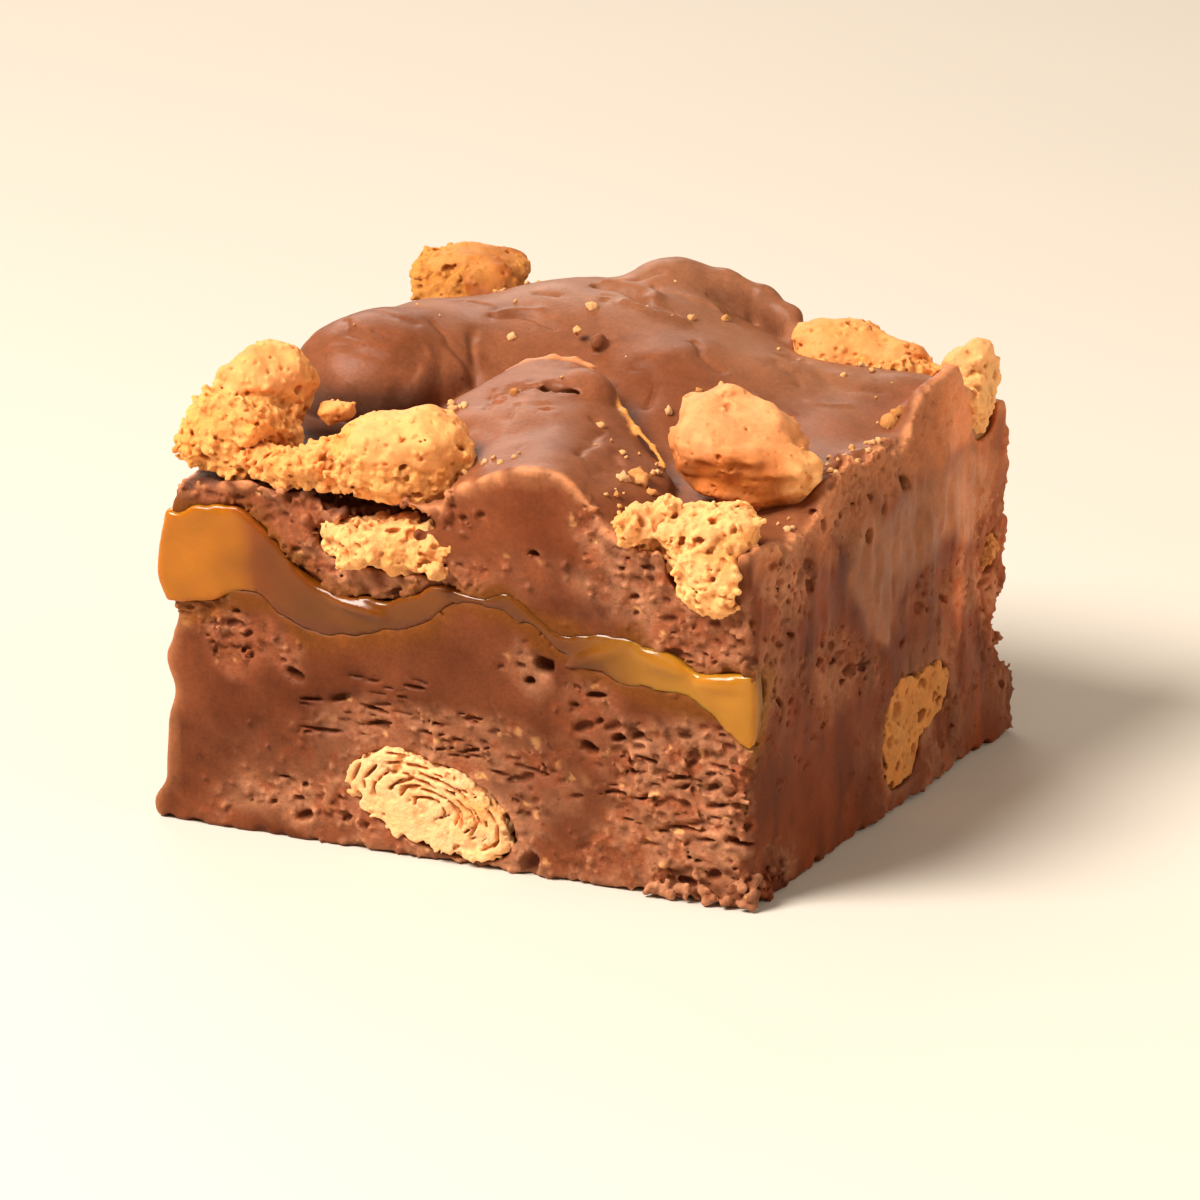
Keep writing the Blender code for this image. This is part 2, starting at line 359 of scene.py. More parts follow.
FRONT_TOP = [(-2, 20.8), (0, 20.9), (3, 21.2), (4.8, 21.4), (6.1, 20.9), (7.4, 19.7), (8.8, 17.8), (10.2, 16.6), (12, 16.3), (13.5, 16.0), (15, 16.3), (17, 17.0), (19, 17.7), (21, 17.9), (23, 17.6), (25, 16.8), (27, 15.9), (29, 15.8), (32, 15.9), (34, 15.1), (36, 14.5), (38, 14.4), (42, 15.0)]
FRONT_LOW = [(-2, 14.2), (0, 14.3), (2, 14.6), (4, 15.4), (5, 15.6), (6.5, 15.2), (7.6, 14.6), (9, 13.7), (10.5, 13.2), (13, 13.3), (15, 13.8), (17, 14.5), (19, 15.6), (21, 16.7), (23, 16.7), (25, 15.5), (27, 14.0), (29, 12.7), (31, 12.1), (33, 12.0), (36, 11.8), (37.5, 11.0), (38.6, 9.6), (39.6, 8.7), (42, 8.6)]
RIGHT_TOP = [(-2, 14.8), (0, 15.2), (3, 15.6), (6, 16.3), (9, 18.2), (11, 19.5), (14, 20.0), (18, 19.9), (20, 19.0), (24, 18.9), (28, 18.6), (30, 20.0), (33, 22.0), (38, 22.3), (42, 22.2)]
RIGHT_LOW = [(-2, 8.9), (0, 10.0), (1.2, 12.2), (3, 13.1), (6, 13.5), (9, 15.2), (11, 16.0), (14, 14.6), (17, 12.4), (20, 12.0), (22, 12.9), (24, 14.0), (27, 15.4), (28.5, 14.2), (31, 13.9), (34, 15.0), (37, 16.4), (42, 17.6)]
LEFT_TOP = [(-2, 20.8), (0, 20.9), (6, 19.8), (13, 17.2), (20, 16.6), (27, 18.6), (34, 17.6), (42, 16.2)]
LEFT_LOW = [(-2, 14.2), (0, 14.3), (6, 15.2), (13, 15.2), (20, 13.0), (27, 14.0), (34, 15.3), (42, 13.2)]
BACK_TOP = [(-2, 16.2), (0, 16.2), (7, 17.0), (14, 19.2), (21, 18.4), (28, 16.6), (34, 19.4), (42, 22.2)]
BACK_LOW = [(-2, 13.2), (0, 13.2), (7, 14.7), (14, 15.4), (21, 13.2), (28, 13.4), (34, 15.9), (42, 17.6)]


def coons(front, right, back, left, X, Y):
    """Height over the plan that meets each face at its own profile. X and Y broadcast."""
    u, v = X + HALF, Y + HALF
    s, t = np.clip(u / 40, -0.05, 1.05), np.clip(v / 40, -0.05, 1.05)
    f, b = curve(front, u), curve(back, u)
    l, r = curve(left, v), curve(right, v)
    f0, f1 = curve(front, np.float32(0)), curve(front, np.float32(40))
    b0, b1 = curve(back, np.float32(0)), curve(back, np.float32(40))
    corners = (1 - s) * (1 - t) * f0 + s * (1 - t) * f1 + (1 - s) * t * b0 + s * t * b1
    # each face keeps its own profile for a few millimetres in, then they blend
    return (1 - t) * f + t * b + (1 - s) * l + s * r - corners


def caramel_low(X, Y):
    return coons(FRONT_LOW, RIGHT_LOW, BACK_LOW, LEFT_LOW, X, Y)


def caramel_top(X, Y):
    return np.maximum(coons(FRONT_TOP, RIGHT_TOP, BACK_TOP, LEFT_TOP, X, Y), caramel_low(X, Y) + 0.8)


LEFT_EDGE = [(-1, -21.3), (0.0, -21.9), (0.7, -22.3), (1.6, -22.0), (2.4, -21.2), (4, -21.1), (7, -20.9), (8.3, -20.3), (9.2, -20.2), (10.2, -20.7), (11.2, -20.9), (12.0, -20.3), (14.2, -20.1), (15.0, -20.6), (16.2, -21.1), (18.5, -20.8), (21, -20.2), (22.2, -19.9), (24, -19.4), (27, -19.6), (33, -19.6)]
BACK_EDGE = [(-1, 20.6), (1.2, 21.2), (2.2, 22.4), (3.6, 22.8), (4.6, 21.6), (6, 20.2), (8.5, 20.1), (9.6, 21.2), (10.3, 22.2), (11.2, 21.4), (12.4, 20.9), (13.8, 21.6), (15, 21.0), (18, 21.0), (20, 20.6), (22, 20.4), (24, 19.9), (33, 19.8)]


def front_y(a, z):
    """y of the front cut face over lists of x and z."""
    wave = 0.16 * noise2(a, z, 9.0, 11) + 0.07 * noise2(a, z, (3.0, 2.2), 12)
    return -HALF + wave


def right_x(b, z):
    wave = 0.16 * noise2(b, z, 9.0, 13) + 0.10 * noise2(b, z, (2.5, 3.0), 14)
    return HALF + wave


def left_x(b, z):
    edge = curve(LEFT_EDGE, z)[None, :]
    near = np.exp(-((b[:, None] + HALF) / 9.0) ** 2)
    far = -20.6 + 0.035 * z[None, :]
    wave = 0.30 * noise2(b, z, 7.0, 15) + 0.14 * noise2(b, z, (2.2, 2.0), 16)
    return (near * edge + (1 - near) * far + wave * (1 - 0.8 * near)).astype(np.float32)


def back_y(a, z):
    edge = curve(BACK_EDGE, z)[None, :]
    near = np.exp(-((HALF - a[:, None]) / 6.5) ** 2)
    far = 20.4 - 0.01 * z[None, :]
    wave = 0.45 * noise2(a, z, 5.0, 17) + 0.22 * noise2(a, z, (2.0, 1.6), 18)
    return (near * edge + (1 - near) * far + wave * (1 - 0.7 * near)).astype(np.float32)


def sides(g, k=0.5):
    """Negative inside the four cut faces."""
    fy = front_y(g.axes[0], g.axes[2])[:, None, :]
    by = back_y(g.axes[0], g.axes[2])[:, None, :]
    rx = right_x(g.axes[1], g.axes[2])[None, :, :]
    lx = left_x(g.axes[1], g.axes[2])[None, :, :]
    across = smax(g.X - rx, lx - g.X, 0.01)
    along = smax(g.Y - by, fy - g.Y, 0.01)
    return smax(across, along, k).astype(np.float32), fy, rx, lx, by



def sheet(points):
    """Thin-plate surface through (x, y, z) points: returns a function of plan coordinates."""
    p = np.array(points, np.float64)
    n = len(p)

    def kernel(d2):
        return 0.5 * d2 * np.log(d2 + 1e-9)

    d2 = ((p[:, None, :2] - p[None, :, :2]) ** 2).sum(-1)
    m = np.zeros((n + 3, n + 3))
    m[:n, :n] = kernel(d2) + 0.6 * np.eye(n)
    m[:n, n], m[:n, n + 1:] = 1, p[:, :2]
    m[n, :n], m[n + 1:, :n] = 1, p[:, :2].T
    w = np.linalg.solve(m, np.concatenate([p[:, 2], np.zeros(3)]))

    def height(X, Y):
        out = w[n] + w[n + 1] * X + w[n + 2] * Y
        for (px, py, _), k in zip(p, w[:n]):
            out = out + k * kernel((X - px) ** 2 + (Y - py) ** 2)
        return out.astype(np.float32)

    return height


def outline(points, X, Y):
    """Signed distance in plan to a closed outline, negative inside."""
    q = np.array(points, np.float32)
    best, inside = None, np.zeros(np.broadcast(X, Y).shape, bool)
    for (ax, ay), (bx, by) in zip(q, np.roll(q, -1, 0)):
        ex, ey = bx - ax, by - ay
        t = np.clip(((X - ax) * ex + (Y - ay) * ey) / (ex * ex + ey * ey), 0, 1)
        d = np.hypot(X - ax - t * ex, Y - ay - t * ey)
        best = d if best is None else np.minimum(best, d)
        cross = (ay > Y) != (by > Y)
        inside ^= cross & (X < ax + (Y - ay) * ex / (ey if abs(ey) > 1e-6 else 1e-6))
    return np.where(inside, -best, best).astype(np.float32)


# the top between the folds
GROUND = sheet([
    (-20, -20, 22.4), (-14, -19, 22.9), (-8, -20, 23.4), (-14, -12, 23.3), (-8, -13, 23.6), (-20, -10, 23.3), (-20, 0, 23.8), (-20, 10, 25.2), (-20, 18, 24.6), (-12, 20, 25.0),
    (7.2, 12.8, 26.8), (11, 12.6, 26.3), (14.4, 12.6, 26.0), (17.9, 13, 26.0), (8, 17.6, 24.0), (12, 17.8, 23.9), (16, 18, 23.8), (20, 17, 23.5), (20, 20, 23.2), (0, 20.4, 25.0),
    (11.3, 5.8, 25.6), (15.3, 4.6, 24.8), (16.2, 0.6, 24.2), (17.2, 9.7, 25.2), (18.6, 5.4, 24.2), (20, 1, 24.0), (20, -3, 24.6), (20, -6, 24.7), (20, -9.5, 22.8), (20, -13, 22.2), (20, -20, 23.2),
    (12, -15, 23.0), (13, -20, 22.8), (16, -16, 22.6), (14, -8, 23.2), (4.7, -2.9, 25.1), (6.5, -5.4, 24.1), (9, -6.5, 23.4), (10.5, -10, 23.0),
    (3.8, 3.2, 27.8), (0, 5, 28.3), (7.6, 4.6, 26.8), (6, 8.5, 27.3), (1.4, 15, 28.6), (-4, 0, 26.6), (-2, 10, 28.7), (8.4, 0.2, 25.4), (-10, -8, 23.6), (0, -12, 23.6), (-5, -6, 24.4),
])
# the tongue that runs over the front edge
TONGUE = sheet([
    (-4.3, -3.0, 27.9), (-2.9, -0.9, 28.2), (-0.3, -0.4, 28.0), (0.6, -2.5, 27.6), (-2.5, -6, 27.5), (1.6, -4.8, 27.3), (0, -9, 27.1), (2.9, -12.2, 26.9), (4.4, -16, 26.7), (2.5, -20.5, 26.0), (4.3, -20.5, 26.4), (6.6, -20.5, 26.4), (8.4, -20.5, 25.4),
    (1.3, -2.6, 27.2), (3.4, -4.6, 26.5), (5.5, -6.7, 25.7), (7.4, -8.3, 25.1), (9.1, -9.7, 24.5), (10.4, -12.5, 24.1), (10.8, -16, 23.9), (10.4, -20.5, 23.2), (7.8, -17, 25.8), (6.0, -12.5, 26.0),
    (-5.2, -7, 26.5), (-5.2, -11.8, 25.3), (-2.4, -14.5, 25.1), (-0.7, -17.3, 25.0), (0.5, -20.5, 24.9), (1.5, -20.5, 25.6),
])
TONGUE_OUTLINE = [(-5.6, -3.4), (-4.4, -1.4), (-2.9, -0.5), (-0.4, -0.3), (0.9, -1.8), (2.2, -3.0), (4.2, -4.9), (6.3, -6.7), (8.2, -8.2), (10.0, -9.9), (11.4, -13.0), (11.8, -17.0), (11.4, -23.0), (0.0, -23.0), (-1.6, -18.0), (-4.0, -15.0), (-6.8, -12.2), (-7.2, -7.0)]

# folds of the top: middle, half sizes, turn about z, softness of the join
FOLDS = [
    ((-14.6, -1.6, 25.6), (5.9, 6.2, 4.5), 0, 0.3),
    ((-13.0, 5.0, 24.0), (8.6, 8.4, 5.2), 0, 2.0),
    ((-6.4, 11.0, 24.3), (9.0, 8.6, 5.7), 0, 2.4),
    ((-2.8, 17.0, 25.0), (4.3, 4.6, 5.75), -6, 1.0),
]
LIP = [(-2.6, 18.0, 29.2, 1.35), (0.2, 18.4, 28.8, 1.15), (3.0, 18.6, 28.1, 0.85), (5.1, 18.2, 27.2, 0.7), (6.2, 16.9, 26.3, 0.6), (6.5, 14.8, 25.8, 0.5)]
SCOOPS = [
    ((4.0, 15.4, 29.2), (2.5, 2.6, 2.3), 25, 0.5),  # hollow in front of the curled back rim
]


def chain(g, points, k=0.4, curtain=False):
    """Tube through points, each (x, y, z, radius). A curtain also fills all that is below it."""
    best = None
    for p, q in zip(points, points[1:]):
        a, b = np.array(p[:3], np.float32), np.array(q[:3], np.float32)
        d = b - a
        t = ((g.X - a[0]) * d[0] + (g.Y - a[1]) * d[1] + (g.Z - a[2]) * d[2]) / float(d @ d)
        t = np.clip(t, 0, 1)
        rise = g.Z - a[2] - t * d[2]
        if curtain:
            rise = np.maximum(rise, 0)
        dist = np.sqrt((g.X - a[0] - t * d[0]) ** 2 + (g.Y - a[1] - t * d[1]) ** 2 + rise ** 2) - (p[3] + t * (q[3] - p[3]))
        best = dist if best is None else smin(best, dist, k)
    return best


# creases (positive) and small ridges (negative) of the top, in plan: points, half width, depth
CREASES = [
    ([(-5.4, 10.4), (-3.4, 10.6), (-1.4, 9.6), (0.6, 9.2)], 0.30, 0.42), ([(-5.0, 11.4), (-3.0, 11.4), (-0.8, 10.5)], 0.45, -0.30), ([(-2.4, 8.6), (-0.2, 8.2), (1.8, 8.6)], 0.40, -0.22),
    ([(-9.8, 4.4), (-8.0, 4.8), (-6.0, 4.5)], 0.22, 0.28), ([(-9.4, 5.3), (-7.0, 5.5)], 0.40, -0.18), ([(-13.6, 5.6), (-11.4, 5.9), (-10.2, 5.4)], 0.18, 0.16),
    ([(-2.6, 13.2), (0.2, 12.8), (2.2, 13.6)], 0.28, 0.22), ([(0.4, 15.8), (2.0, 16.6), (3.0, 17.8)], 0.24, 0.28), ([(-6.8, 14.6), (-4.4, 14.0), (-2.8, 14.6)], 0.25, 0.16),
    ([(3.4, 5.8), (4.8, 4.6), (6.8, 4.2)], 0.30, 0.20), ([(2.0, 1.8), (3.6, 0.6), (4.2, -1.2)], 0.35, 0.22), ([(-4.6, 0.8), (-3.0, 1.6), (-1.0, 1.4), (0.8, 0.2)], 0.40, 0.30),
    ([(-9.6, 1.0), (-8.4, -1.2), (-7.4, -2.6)], 0.35, 0.26), ([(-15.8, 8.6), (-13.4, 9.6), (-11.0, 9.2)], 0.30, 0.14), ([(-8.6, 8.0), (-6.4, 7.4)], 0.20, 0.16),
    ([(11.4, 9.4), (13.8, 8.6), (15.6, 9.4)], 0.30, 0.12), ([(8.6, 8.6), (10.6, 7.4)], 0.30, 0.14), ([(9.6, 3.4), (12.4, 2.6)], 0.30, -0.10), ([(12.4, 5.6), (14.6, 6.4)], 0.25, -0.10),
    ([(-1.2, -9.6), (-0.6, -11.4)], 0.20, 0.12), ([(4.4, -9.6), (5.6, -12.4), (6.2, -15.4)], 0.30, 0.14),
    ([(6.8, -11.4), (7.8, -14.2), (8.0, -17.0)], 0.30, 0.14), ([(2.2, -14.0), (2.0, -17.0)], 0.25, 0.08), ([(-4.0, -6.4), (-3.2, -9.4)], 0.25, 0.12),
    ([(-11.2, -5.0), (-10.9, -6.2), (-11.6, -7.6)], 0.35, 0.22), ([(-9.8, -3.2), (-9.3, -5.0), (-9.6, -7.2)], 0.5, 0.22), ([(-16.8, -3.6), (-15.6, -4.9), (-14.2, -5.2)], 0.30, 0.20), ([(-15.6, -1.8), (-13.6, -2.6), (-12.0, -2.3)], 0.26, 0.16), ([(-13.4, -4.2), (-12.2, -4.6), (-10.8, -3.9)], 0.24, 0.20), ([(-11.6, -0.8), (-10.0, -1.8), (-8.6, -1.6)], 0.26, 0.20), ([(-18.0, -0.6), (-16.6, 0.4)], 0.26, 0.14),
]


def creased(a, b):
    """How much the creases lower the top, over lists of x and y."""
    X = a[:, None] + 0.22 * noise2(a, b, 1.1, 26)
    Y = b[None, :] + 0.22 * noise2(a, b, 1.1, 27)
    total = np.zeros(X.shape, np.float32)
    for points, width, depth in CREASES:
        best = None
        for (ax, ay), (bx, by) in zip(points, points[1:]):
            ex, ey = bx - ax, by - ay
            t = np.clip(((X - ax) * ex + (Y - ay) * ey) / (ex * ex + ey * ey), 0, 1)
            d = np.hypot(X - ax - t * ex, Y - ay - t * ey)
            best = d if best is None else np.minimum(best, d)
        total += depth * np.exp(-((best / width) ** 2))
    # fine skin wrinkles and a few burst blisters
    total += 0.030 * np.abs(noise2(a, b, (0.8, 0.45), 28)) * smoothstep(-0.6, 0.9, noise2(a, b, 5.5, 29))
    for cx, cy, r in ((-2.4, -7.4, 1.5), (-0.6, -6.2, 0.8), (0.8, -9.4, 0.7), (3.8, -8.8, 0.5), (-8.8, -5.4, 0.8), (-3.6, 8.6, 0.9), (9.2, 10.6, 0.8)):
        total += 0.16 * np.exp(-(((X - cx) ** 2 + (Y - cy) ** 2) / r ** 2)) * np.abs(noise2(a, b, 0.55, 30))
    return total.astype(np.float32)


def floor_height(g):
    """Height of the top below the rolled folds, over the plan."""
    a, b = g.axes[0], g.axes[1]
    X, Y = a[:, None], b[None, :]
    h = GROUND(X, Y)
    # the thin fin along the right face
    fin = smoothstep(2.6, 5.6, Y) * smoothstep(13.8, 10.5, Y) * smoothstep(17.6, 19.3, X + 0.25 * np.sin(Y))
    h = h + 2.3 * fin * smoothstep(2.6, 7.5, Y)
    # crumbly rim in front of the fin
    rim = smoothstep(17.4, 19.2, X) * smoothstep(-12, -9, Y) * smoothstep(5.0, 2.5, Y)
    h = h + rim * (0.5 + 0.35 * noise2(a, b, 0.9, 25))
    h = h + 0.16 * noise2(a, b, 5.0, 21) + 0.07 * noise2(a, b, 1.8, 22)
    away = outline(TONGUE_OUTLINE, X, Y)
    t = TONGUE(X, Y) - 5.5 * smoothstep(-0.5, 2.0, away) - 0.25 * smoothstep(-1.4, 0.0, away)
    # long flow lines run down the tongue
    t = t + 0.05 * noise2(a, b, (0.7, 4.5), 23) + 0.05 * noise2(a, b, (1.6, 3.5), 24)
    return smax(h, t, 0.35).astype(np.float32)[:, :, None]


def top_surface(g):
    """Negative below the folded top."""
    f = (g.Z - floor_height(g)) * np.float32(0.8)
    for (cx, cy, cz), radii, turn, soft in FOLDS:
        c, s = math.cos(math.radians(turn)), math.sin(math.radians(turn))
        dx, dy = g.X - cx, g.Y - cy
        f = smin(f, ellipsoid(c * dx + s * dy, -s * dx + c * dy, g.Z - cz, radii), soft)
    f = smin(f, chain(g, LIP, 0.8, True), 0.7)
    f = f + (0.10 * noise3(g, 3.4, 31) + 0.035 * noise3(g, 1.3, 32)).astype(np.float32) + creased(g.axes[0], g.axes[1])[:, :, None]
    for (cx, cy, cz), radii, turn, soft in SCOOPS:
        c, s = math.cos(math.radians(turn)), math.sin(math.radians(turn))
        dx, dy = g.X - cx, g.Y - cy
        f = smax(f, -ellipsoid(c * dx + s * dy, -s * dx + c * dy, g.Z - cz, radii), soft)
    return f.astype(np.float32)


# ridge along the tongue's rim where it lies on the folds behind, painted in the rim highlight colour, and the thin
# caramel edge beside it
CREST = [(-5.2, -3.0, 27.35, 0.12), (-4.2, -2.0, 27.75, 0.2), (-2.9, -1.0, 28.0, 0.22), (-1.4, -0.7, 27.95, 0.2), (0.0, -0.8, 27.7, 0.15)]
EDGE = [(0.3, -2.0, 27.6, 0.34), (1.1, -2.5, 27.35, 0.30), (2.6, -3.6, 26.85, 0.17), (4.2, -5.1, 26.25, 0.14), (5.8, -6.6, 25.65, 0.15), (7.6, -8.0, 25.05, 0.14), (9.2, -9.6, 24.4, 0.12)]


# ------------------------------------------------------------------ where each face is crumbly

def patch(A, Z, ca, cz, ra, rz, tilt=0.0, edge=0.35):
    """1 inside a tilted ellipse on a face, falling to 0 outside it."""
    c, s = math.cos(math.radians(tilt)), math.sin(math.radians(tilt))
    p = (c * (A - ca) + s * (Z - cz)) / ra
    q = (-s * (A - ca) + c * (Z - cz)) / rz
    return smoothstep(1 + edge, 1 - edge, np.sqrt(p * p + q * q))


def warped(a, z, seed):
    A = a[:, None] + 0.9 * noise2(a, z, 2.6, seed) + 0.35 * noise2(a, z, 0.9, seed + 1)
    Z = z[None, :] + 0.7 * noise2(a, z, 2.6, seed + 2) + 0.3 * noise2(a, z, 0.9, seed + 3)
    return A, Z


def front_zones(a, z):
    """(pores, grains, streaks) on the front face, each 0 to 1, over lists of x and z."""
    A, Z = warped(a + 20, z, 51)
    pores = np.maximum.reduce([
        0.95 * patch(A, Z, 34.5, 8.6, 6.6, 2.6, -8),
        0.9 * patch(A, Z, 37.6, 5.4, 2.9, 4.8),
        0.85 * patch(A, Z, 4.2, 13.4, 4.6, 1.5, -4),
        0.55 * patch(A, Z, 26.2, 13.4, 2.2, 1.6, -20),
        0.75 * patch(A, Z, 9.0, 2.4, 3.6, 2.0),
        0.7 * patch(A, Z, 15.0, 18.2, 6.6, 1.3, 2),
        0.65 * patch(A, Z, 35.6, 16.6, 4.6, 2.6, 14),
        0.7 * patch(A, Z, 4.5, 21.9, 5.5, 1.1, -6),
        0.7 * patch(A, Z, 10.5, 19.6, 2.6, 2.2, -30),
        0.55 * patch(A, Z, 25.6, 6.0, 2.2, 2.2),
        0.45 * patch(A, Z, 30.2, 21.0, 2.2, 3.2),
        0.3 * patch(A, Z, 38.4, 20.0, 1.6, 3.0),
    ])
    grains = np.maximum.reduce([
        0.9 * patch(A, Z, 33.5, 3.6, 8.5, 4.6),
        1.0 * patch(A, Z, 35.0, 8.0, 6.5, 3.6),
        0.9 * patch(A, Z, 8.5, 2.6, 5.0, 2.9),
        0.9 * patch(A, Z, 4.4, 13.5, 4.8, 1.7),
        1.0 * patch(A, Z, 14.5, 18.2, 7.2, 1.7, 2),
        0.9 * patch(A, Z, 34.4, 17.4, 6.2, 3.2, -10),
        0.8 * patch(A, Z, 30.8, 22.0, 2.6, 3.0),
        0.9 * patch(A, Z, 4.6, 21.9, 6.0, 1.3, -6),
        0.9 * patch(A, Z, 10.8, 19.6, 3.0, 2.6, -30),
        0.8 * patch(A, Z, 18.5, 2.8, 8.4, 4.6),
        0.55 * patch(A, Z, 18.0, 8.6, 9.5, 2.2),
        0.30 * patch(A, Z, 22.0, 5.0, 18.0, 5.0),
        0.35 * patch(A, Z, 24.0, 19.5, 3.0, 2.0),
    ]) * (1 - 0.85 * patch(A, Z, 27.6, 5.6, 2.4, 2.9)) * (1 - 0.9 * patch(A, Z, 24.6, 23.0, 3.6, 3.0))
    streaks = np.maximum.reduce([
        0.95 * patch(A, Z, 17.2, 8.6, 8.6, 1.7, -3),
        0.6 * patch(A, Z, 13.0, 10.6, 4.5, 1.4, 4),
        0.7 * patch(A, Z, 35.0, 6.6, 5.4, 3.4, -6),
        0.3 * patch(A, Z, 6.0, 4.6, 4.0, 0.9),
    ])
    return pores.astype(np.float32), grains.astype(np.float32), streaks.astype(np.float32)


def right_zones(b, z):
    V, Z = warped(b + 20, z, 61)
    pores = np.maximum.reduce([
        0.8 * patch(V, Z, 14.2, 11.4, 4.2, 2.2, -14),
        0.7 * patch(V, Z, 5.0, 19.6, 4.6, 2.4, -10),
        0.5 * patch(V, Z, 4.0, 15.0, 3.6, 2.0, -10),
        0.5 * patch(V, Z, 21.0, 21.6, 6.0, 1.6, -6),
        0.45 * patch(V, Z, 8.6, 13.6, 4.5, 0.9, -14),
        0.35 * patch(V, Z, 3.5, 15.9, 3.6, 0.6),
        0.5 * patch(V, Z, 4.6, 11.6, 3.6, 1.8, -8),
        0.55 * patch(V, Z, 13.0, 22.4, 5.6, 1.8, -6),
        0.7 * patch(V, Z, 14.0, 24.6, 8.6, 1.4, -6),
        0.5 * patch(V, Z, 34.0, 12.0, 6.0, 2.0),
        0.5 * patch(V, Z, 25.6, 13.2, 3.0, 1.0, 20),
        0.45 * patch(V, Z, 2.6, 1.4, 3.4, 1.6),
        0.35 * patch(V, Z, 37.5, 8.0, 3.0, 7.0),
    ])
    grains = np.maximum.reduce([
        0.95 * patch(V, Z, 14.0, 24.6, 9.5, 1.9, -6),
        0.7 * patch(V, Z, 13.0, 21.8, 6.5, 2.2, -6),
        0.7 * patch(V, Z, 5.0, 20.4, 5.0, 3.0, -10),
        0.5 * patch(V, Z, 4.0, 14.6, 4.0, 2.6, -10),
        0.6 * patch(V, Z, 25.0, 23.6, 6.0, 2.0, 0),
        0.55 * patch(V, Z, 14.0, 11.2, 5.6, 2.6, -14),
        0.6 * patch(V, Z, 26.0, 4.0, 8.0, 5.6),
        0.9 * patch(V, Z, 2.8, 1.2, 3.8, 1.7),
        0.6 * patch(V, Z, 34.0, 11.8, 7.0, 2.4),
        0.8 * patch(V, Z, 38.6, 9.0, 2.4, 10.0),
        0.35 * patch(V, Z, 3.4, 11.6, 4.2, 2.2),
    ])
    streaks = np.maximum.reduce([
        0.5 * patch(V, Z, 15.6, 11.3, 2.8, 0.8, -6),
        0.25 * patch(V, Z, 6.0, 8.0, 4.0, 2.0),
    ])
    return pores.astype(np.float32), grains.astype(np.float32), streaks.astype(np.float32)


def far_zones(a, z, seed):
    """The two hidden faces: the same mix of smooth, streaked and crumbly places."""
    A, Z = warped(a + 20, z, seed)
    rng = np.random.default_rng(seed)
    pores, grains, streaks = (np.zeros((len(a), len(z)), np.float32) for _ in range(3))
    for _ in range(7):
        ca, cz = rng.uniform(2, 38), rng.uniform(1, 23)
        ra, rz, tilt = rng.uniform(2.5, 6.5), rng.uniform(1.2, 2.8), rng.uniform(-14, 14)
        pores = np.maximum(pores, rng.uniform(0.5, 0.9) * patch(A, Z, ca, cz, ra, rz, tilt))
        grains = np.maximum(grains, 0.95 * patch(A, Z, ca + rng.uniform(-1, 1), cz, ra * 1.3, rz * 1.4, tilt))
    for _ in range(3):
        ca, cz = rng.uniform(6, 34), rng.uniform(4, 11)
        streaks = np.maximum(streaks, 0.9 * patch(A, Z, ca, cz, rng.uniform(5, 8), 1.6, rng.uniform(-6, 6)))
    return pores, grains, streaks


def crumble(f, g, side_fields, seed):
    """Roughens the cut faces where they are crumbly. Returns the field and the crumb strength on the grid."""
    fy, rx, lx, by = side_fields
    a, b, z = g.axes
    total = np.zeros(f.shape, np.float32)
    soft1, soft2 = noise3(g, 1.25, 91), noise3(g, 0.6, 92)
    faces = (
        (front_zones(a, z), g.Y - fy, (slice(None), None, slice(None)), 0),
        (right_zones(b, z), rx - g.X, (None, slice(None), slice(None)), 1),
        (far_zones(b, z, 71), g.X - lx, (None, slice(None), slice(None)), 1),
        (far_zones(a, z, 81), by - g.Y, (slice(None), None, slice(None)), 0),
    )
    weights = []
    f = f + (0.045 * noise2(b, z, (0.5, 1.3), 93) + 0.03 * noise2(b, z, (0.3, 0.7), 94))[None, :, :] * smoothstep(1.3, 0.4, rx - g.X) * (0.5 + 0.5 * smoothstep(9.0, 16.0, g.Z))
    for zones, depth, shape, kind in faces:
        near = smoothstep(1.3, 0.4, depth).astype(np.float32)
        p, q, s = (zone[shape] * near for zone in zones)
        f = f + q * (0.15 + 0.11 * np.abs(soft1) + 0.07 * soft2)
        np.maximum(total, np.maximum(q, 0.8 * p), out=total)
        weights.append((p, q, s, kind))
    f = np.ascontiguousarray(f, np.float32)
    for n, (p, q, s, kind) in enumerate(weights):
        hidden = n > 1
        long = (1, 0.6, 0.5) if kind == 0 else (0.6, 1, 0.5)
        lean = (0, 35, 0) if kind == 0 else (35, 0, 0)
        less = 0.55 if hidden else 1.0
        scatter(f, g, q, 4.6 * less, (0.14, 0.34), seed + n, flat=(1, 1, 0.8), tilt=(60, 60, 60), soft=0.04, sink=0.45)
        scatter(f, g, p, 4.2 * less, (0.13, 0.46), seed + 10 + n, cut=True, flat=long, tilt=lean)
        scatter(f, g, np.clip(p - 0.35, 0, 1) * 1.5, 0.30 * less, (0.4, 0.8), seed + 20 + n, cut=True, flat=long, tilt=lean)
        thin = (1, 0.5, 0.14) if kind == 0 else (0.5, 1, 0.14)
        nod = (0, 14, 0) if kind == 0 else (14, 0, 0)
        scatter(f, g, s, 1.6 * less, (0.3, 1.1), seed + 30 + n, cut=True, flat=thin, tilt=nod)
        scatter(f, g, np.clip(1 - total * 1.2, 0, 1) * near_of(faces[n][1]), 0.05 * less, (0.10, 0.24), seed + 40 + n, cut=True, flat=long, tilt=lean)
        scatter(f, g, q, 2.4 * less, (0.11, 0.22), seed + 50 + n, flat=(1, 1, 0.8), tilt=(60, 60, 60), soft=0.03, sink=0.3)
    return f, total


def near_of(depth):
    return smoothstep(0.6, 0.2, depth).astype(np.float32)


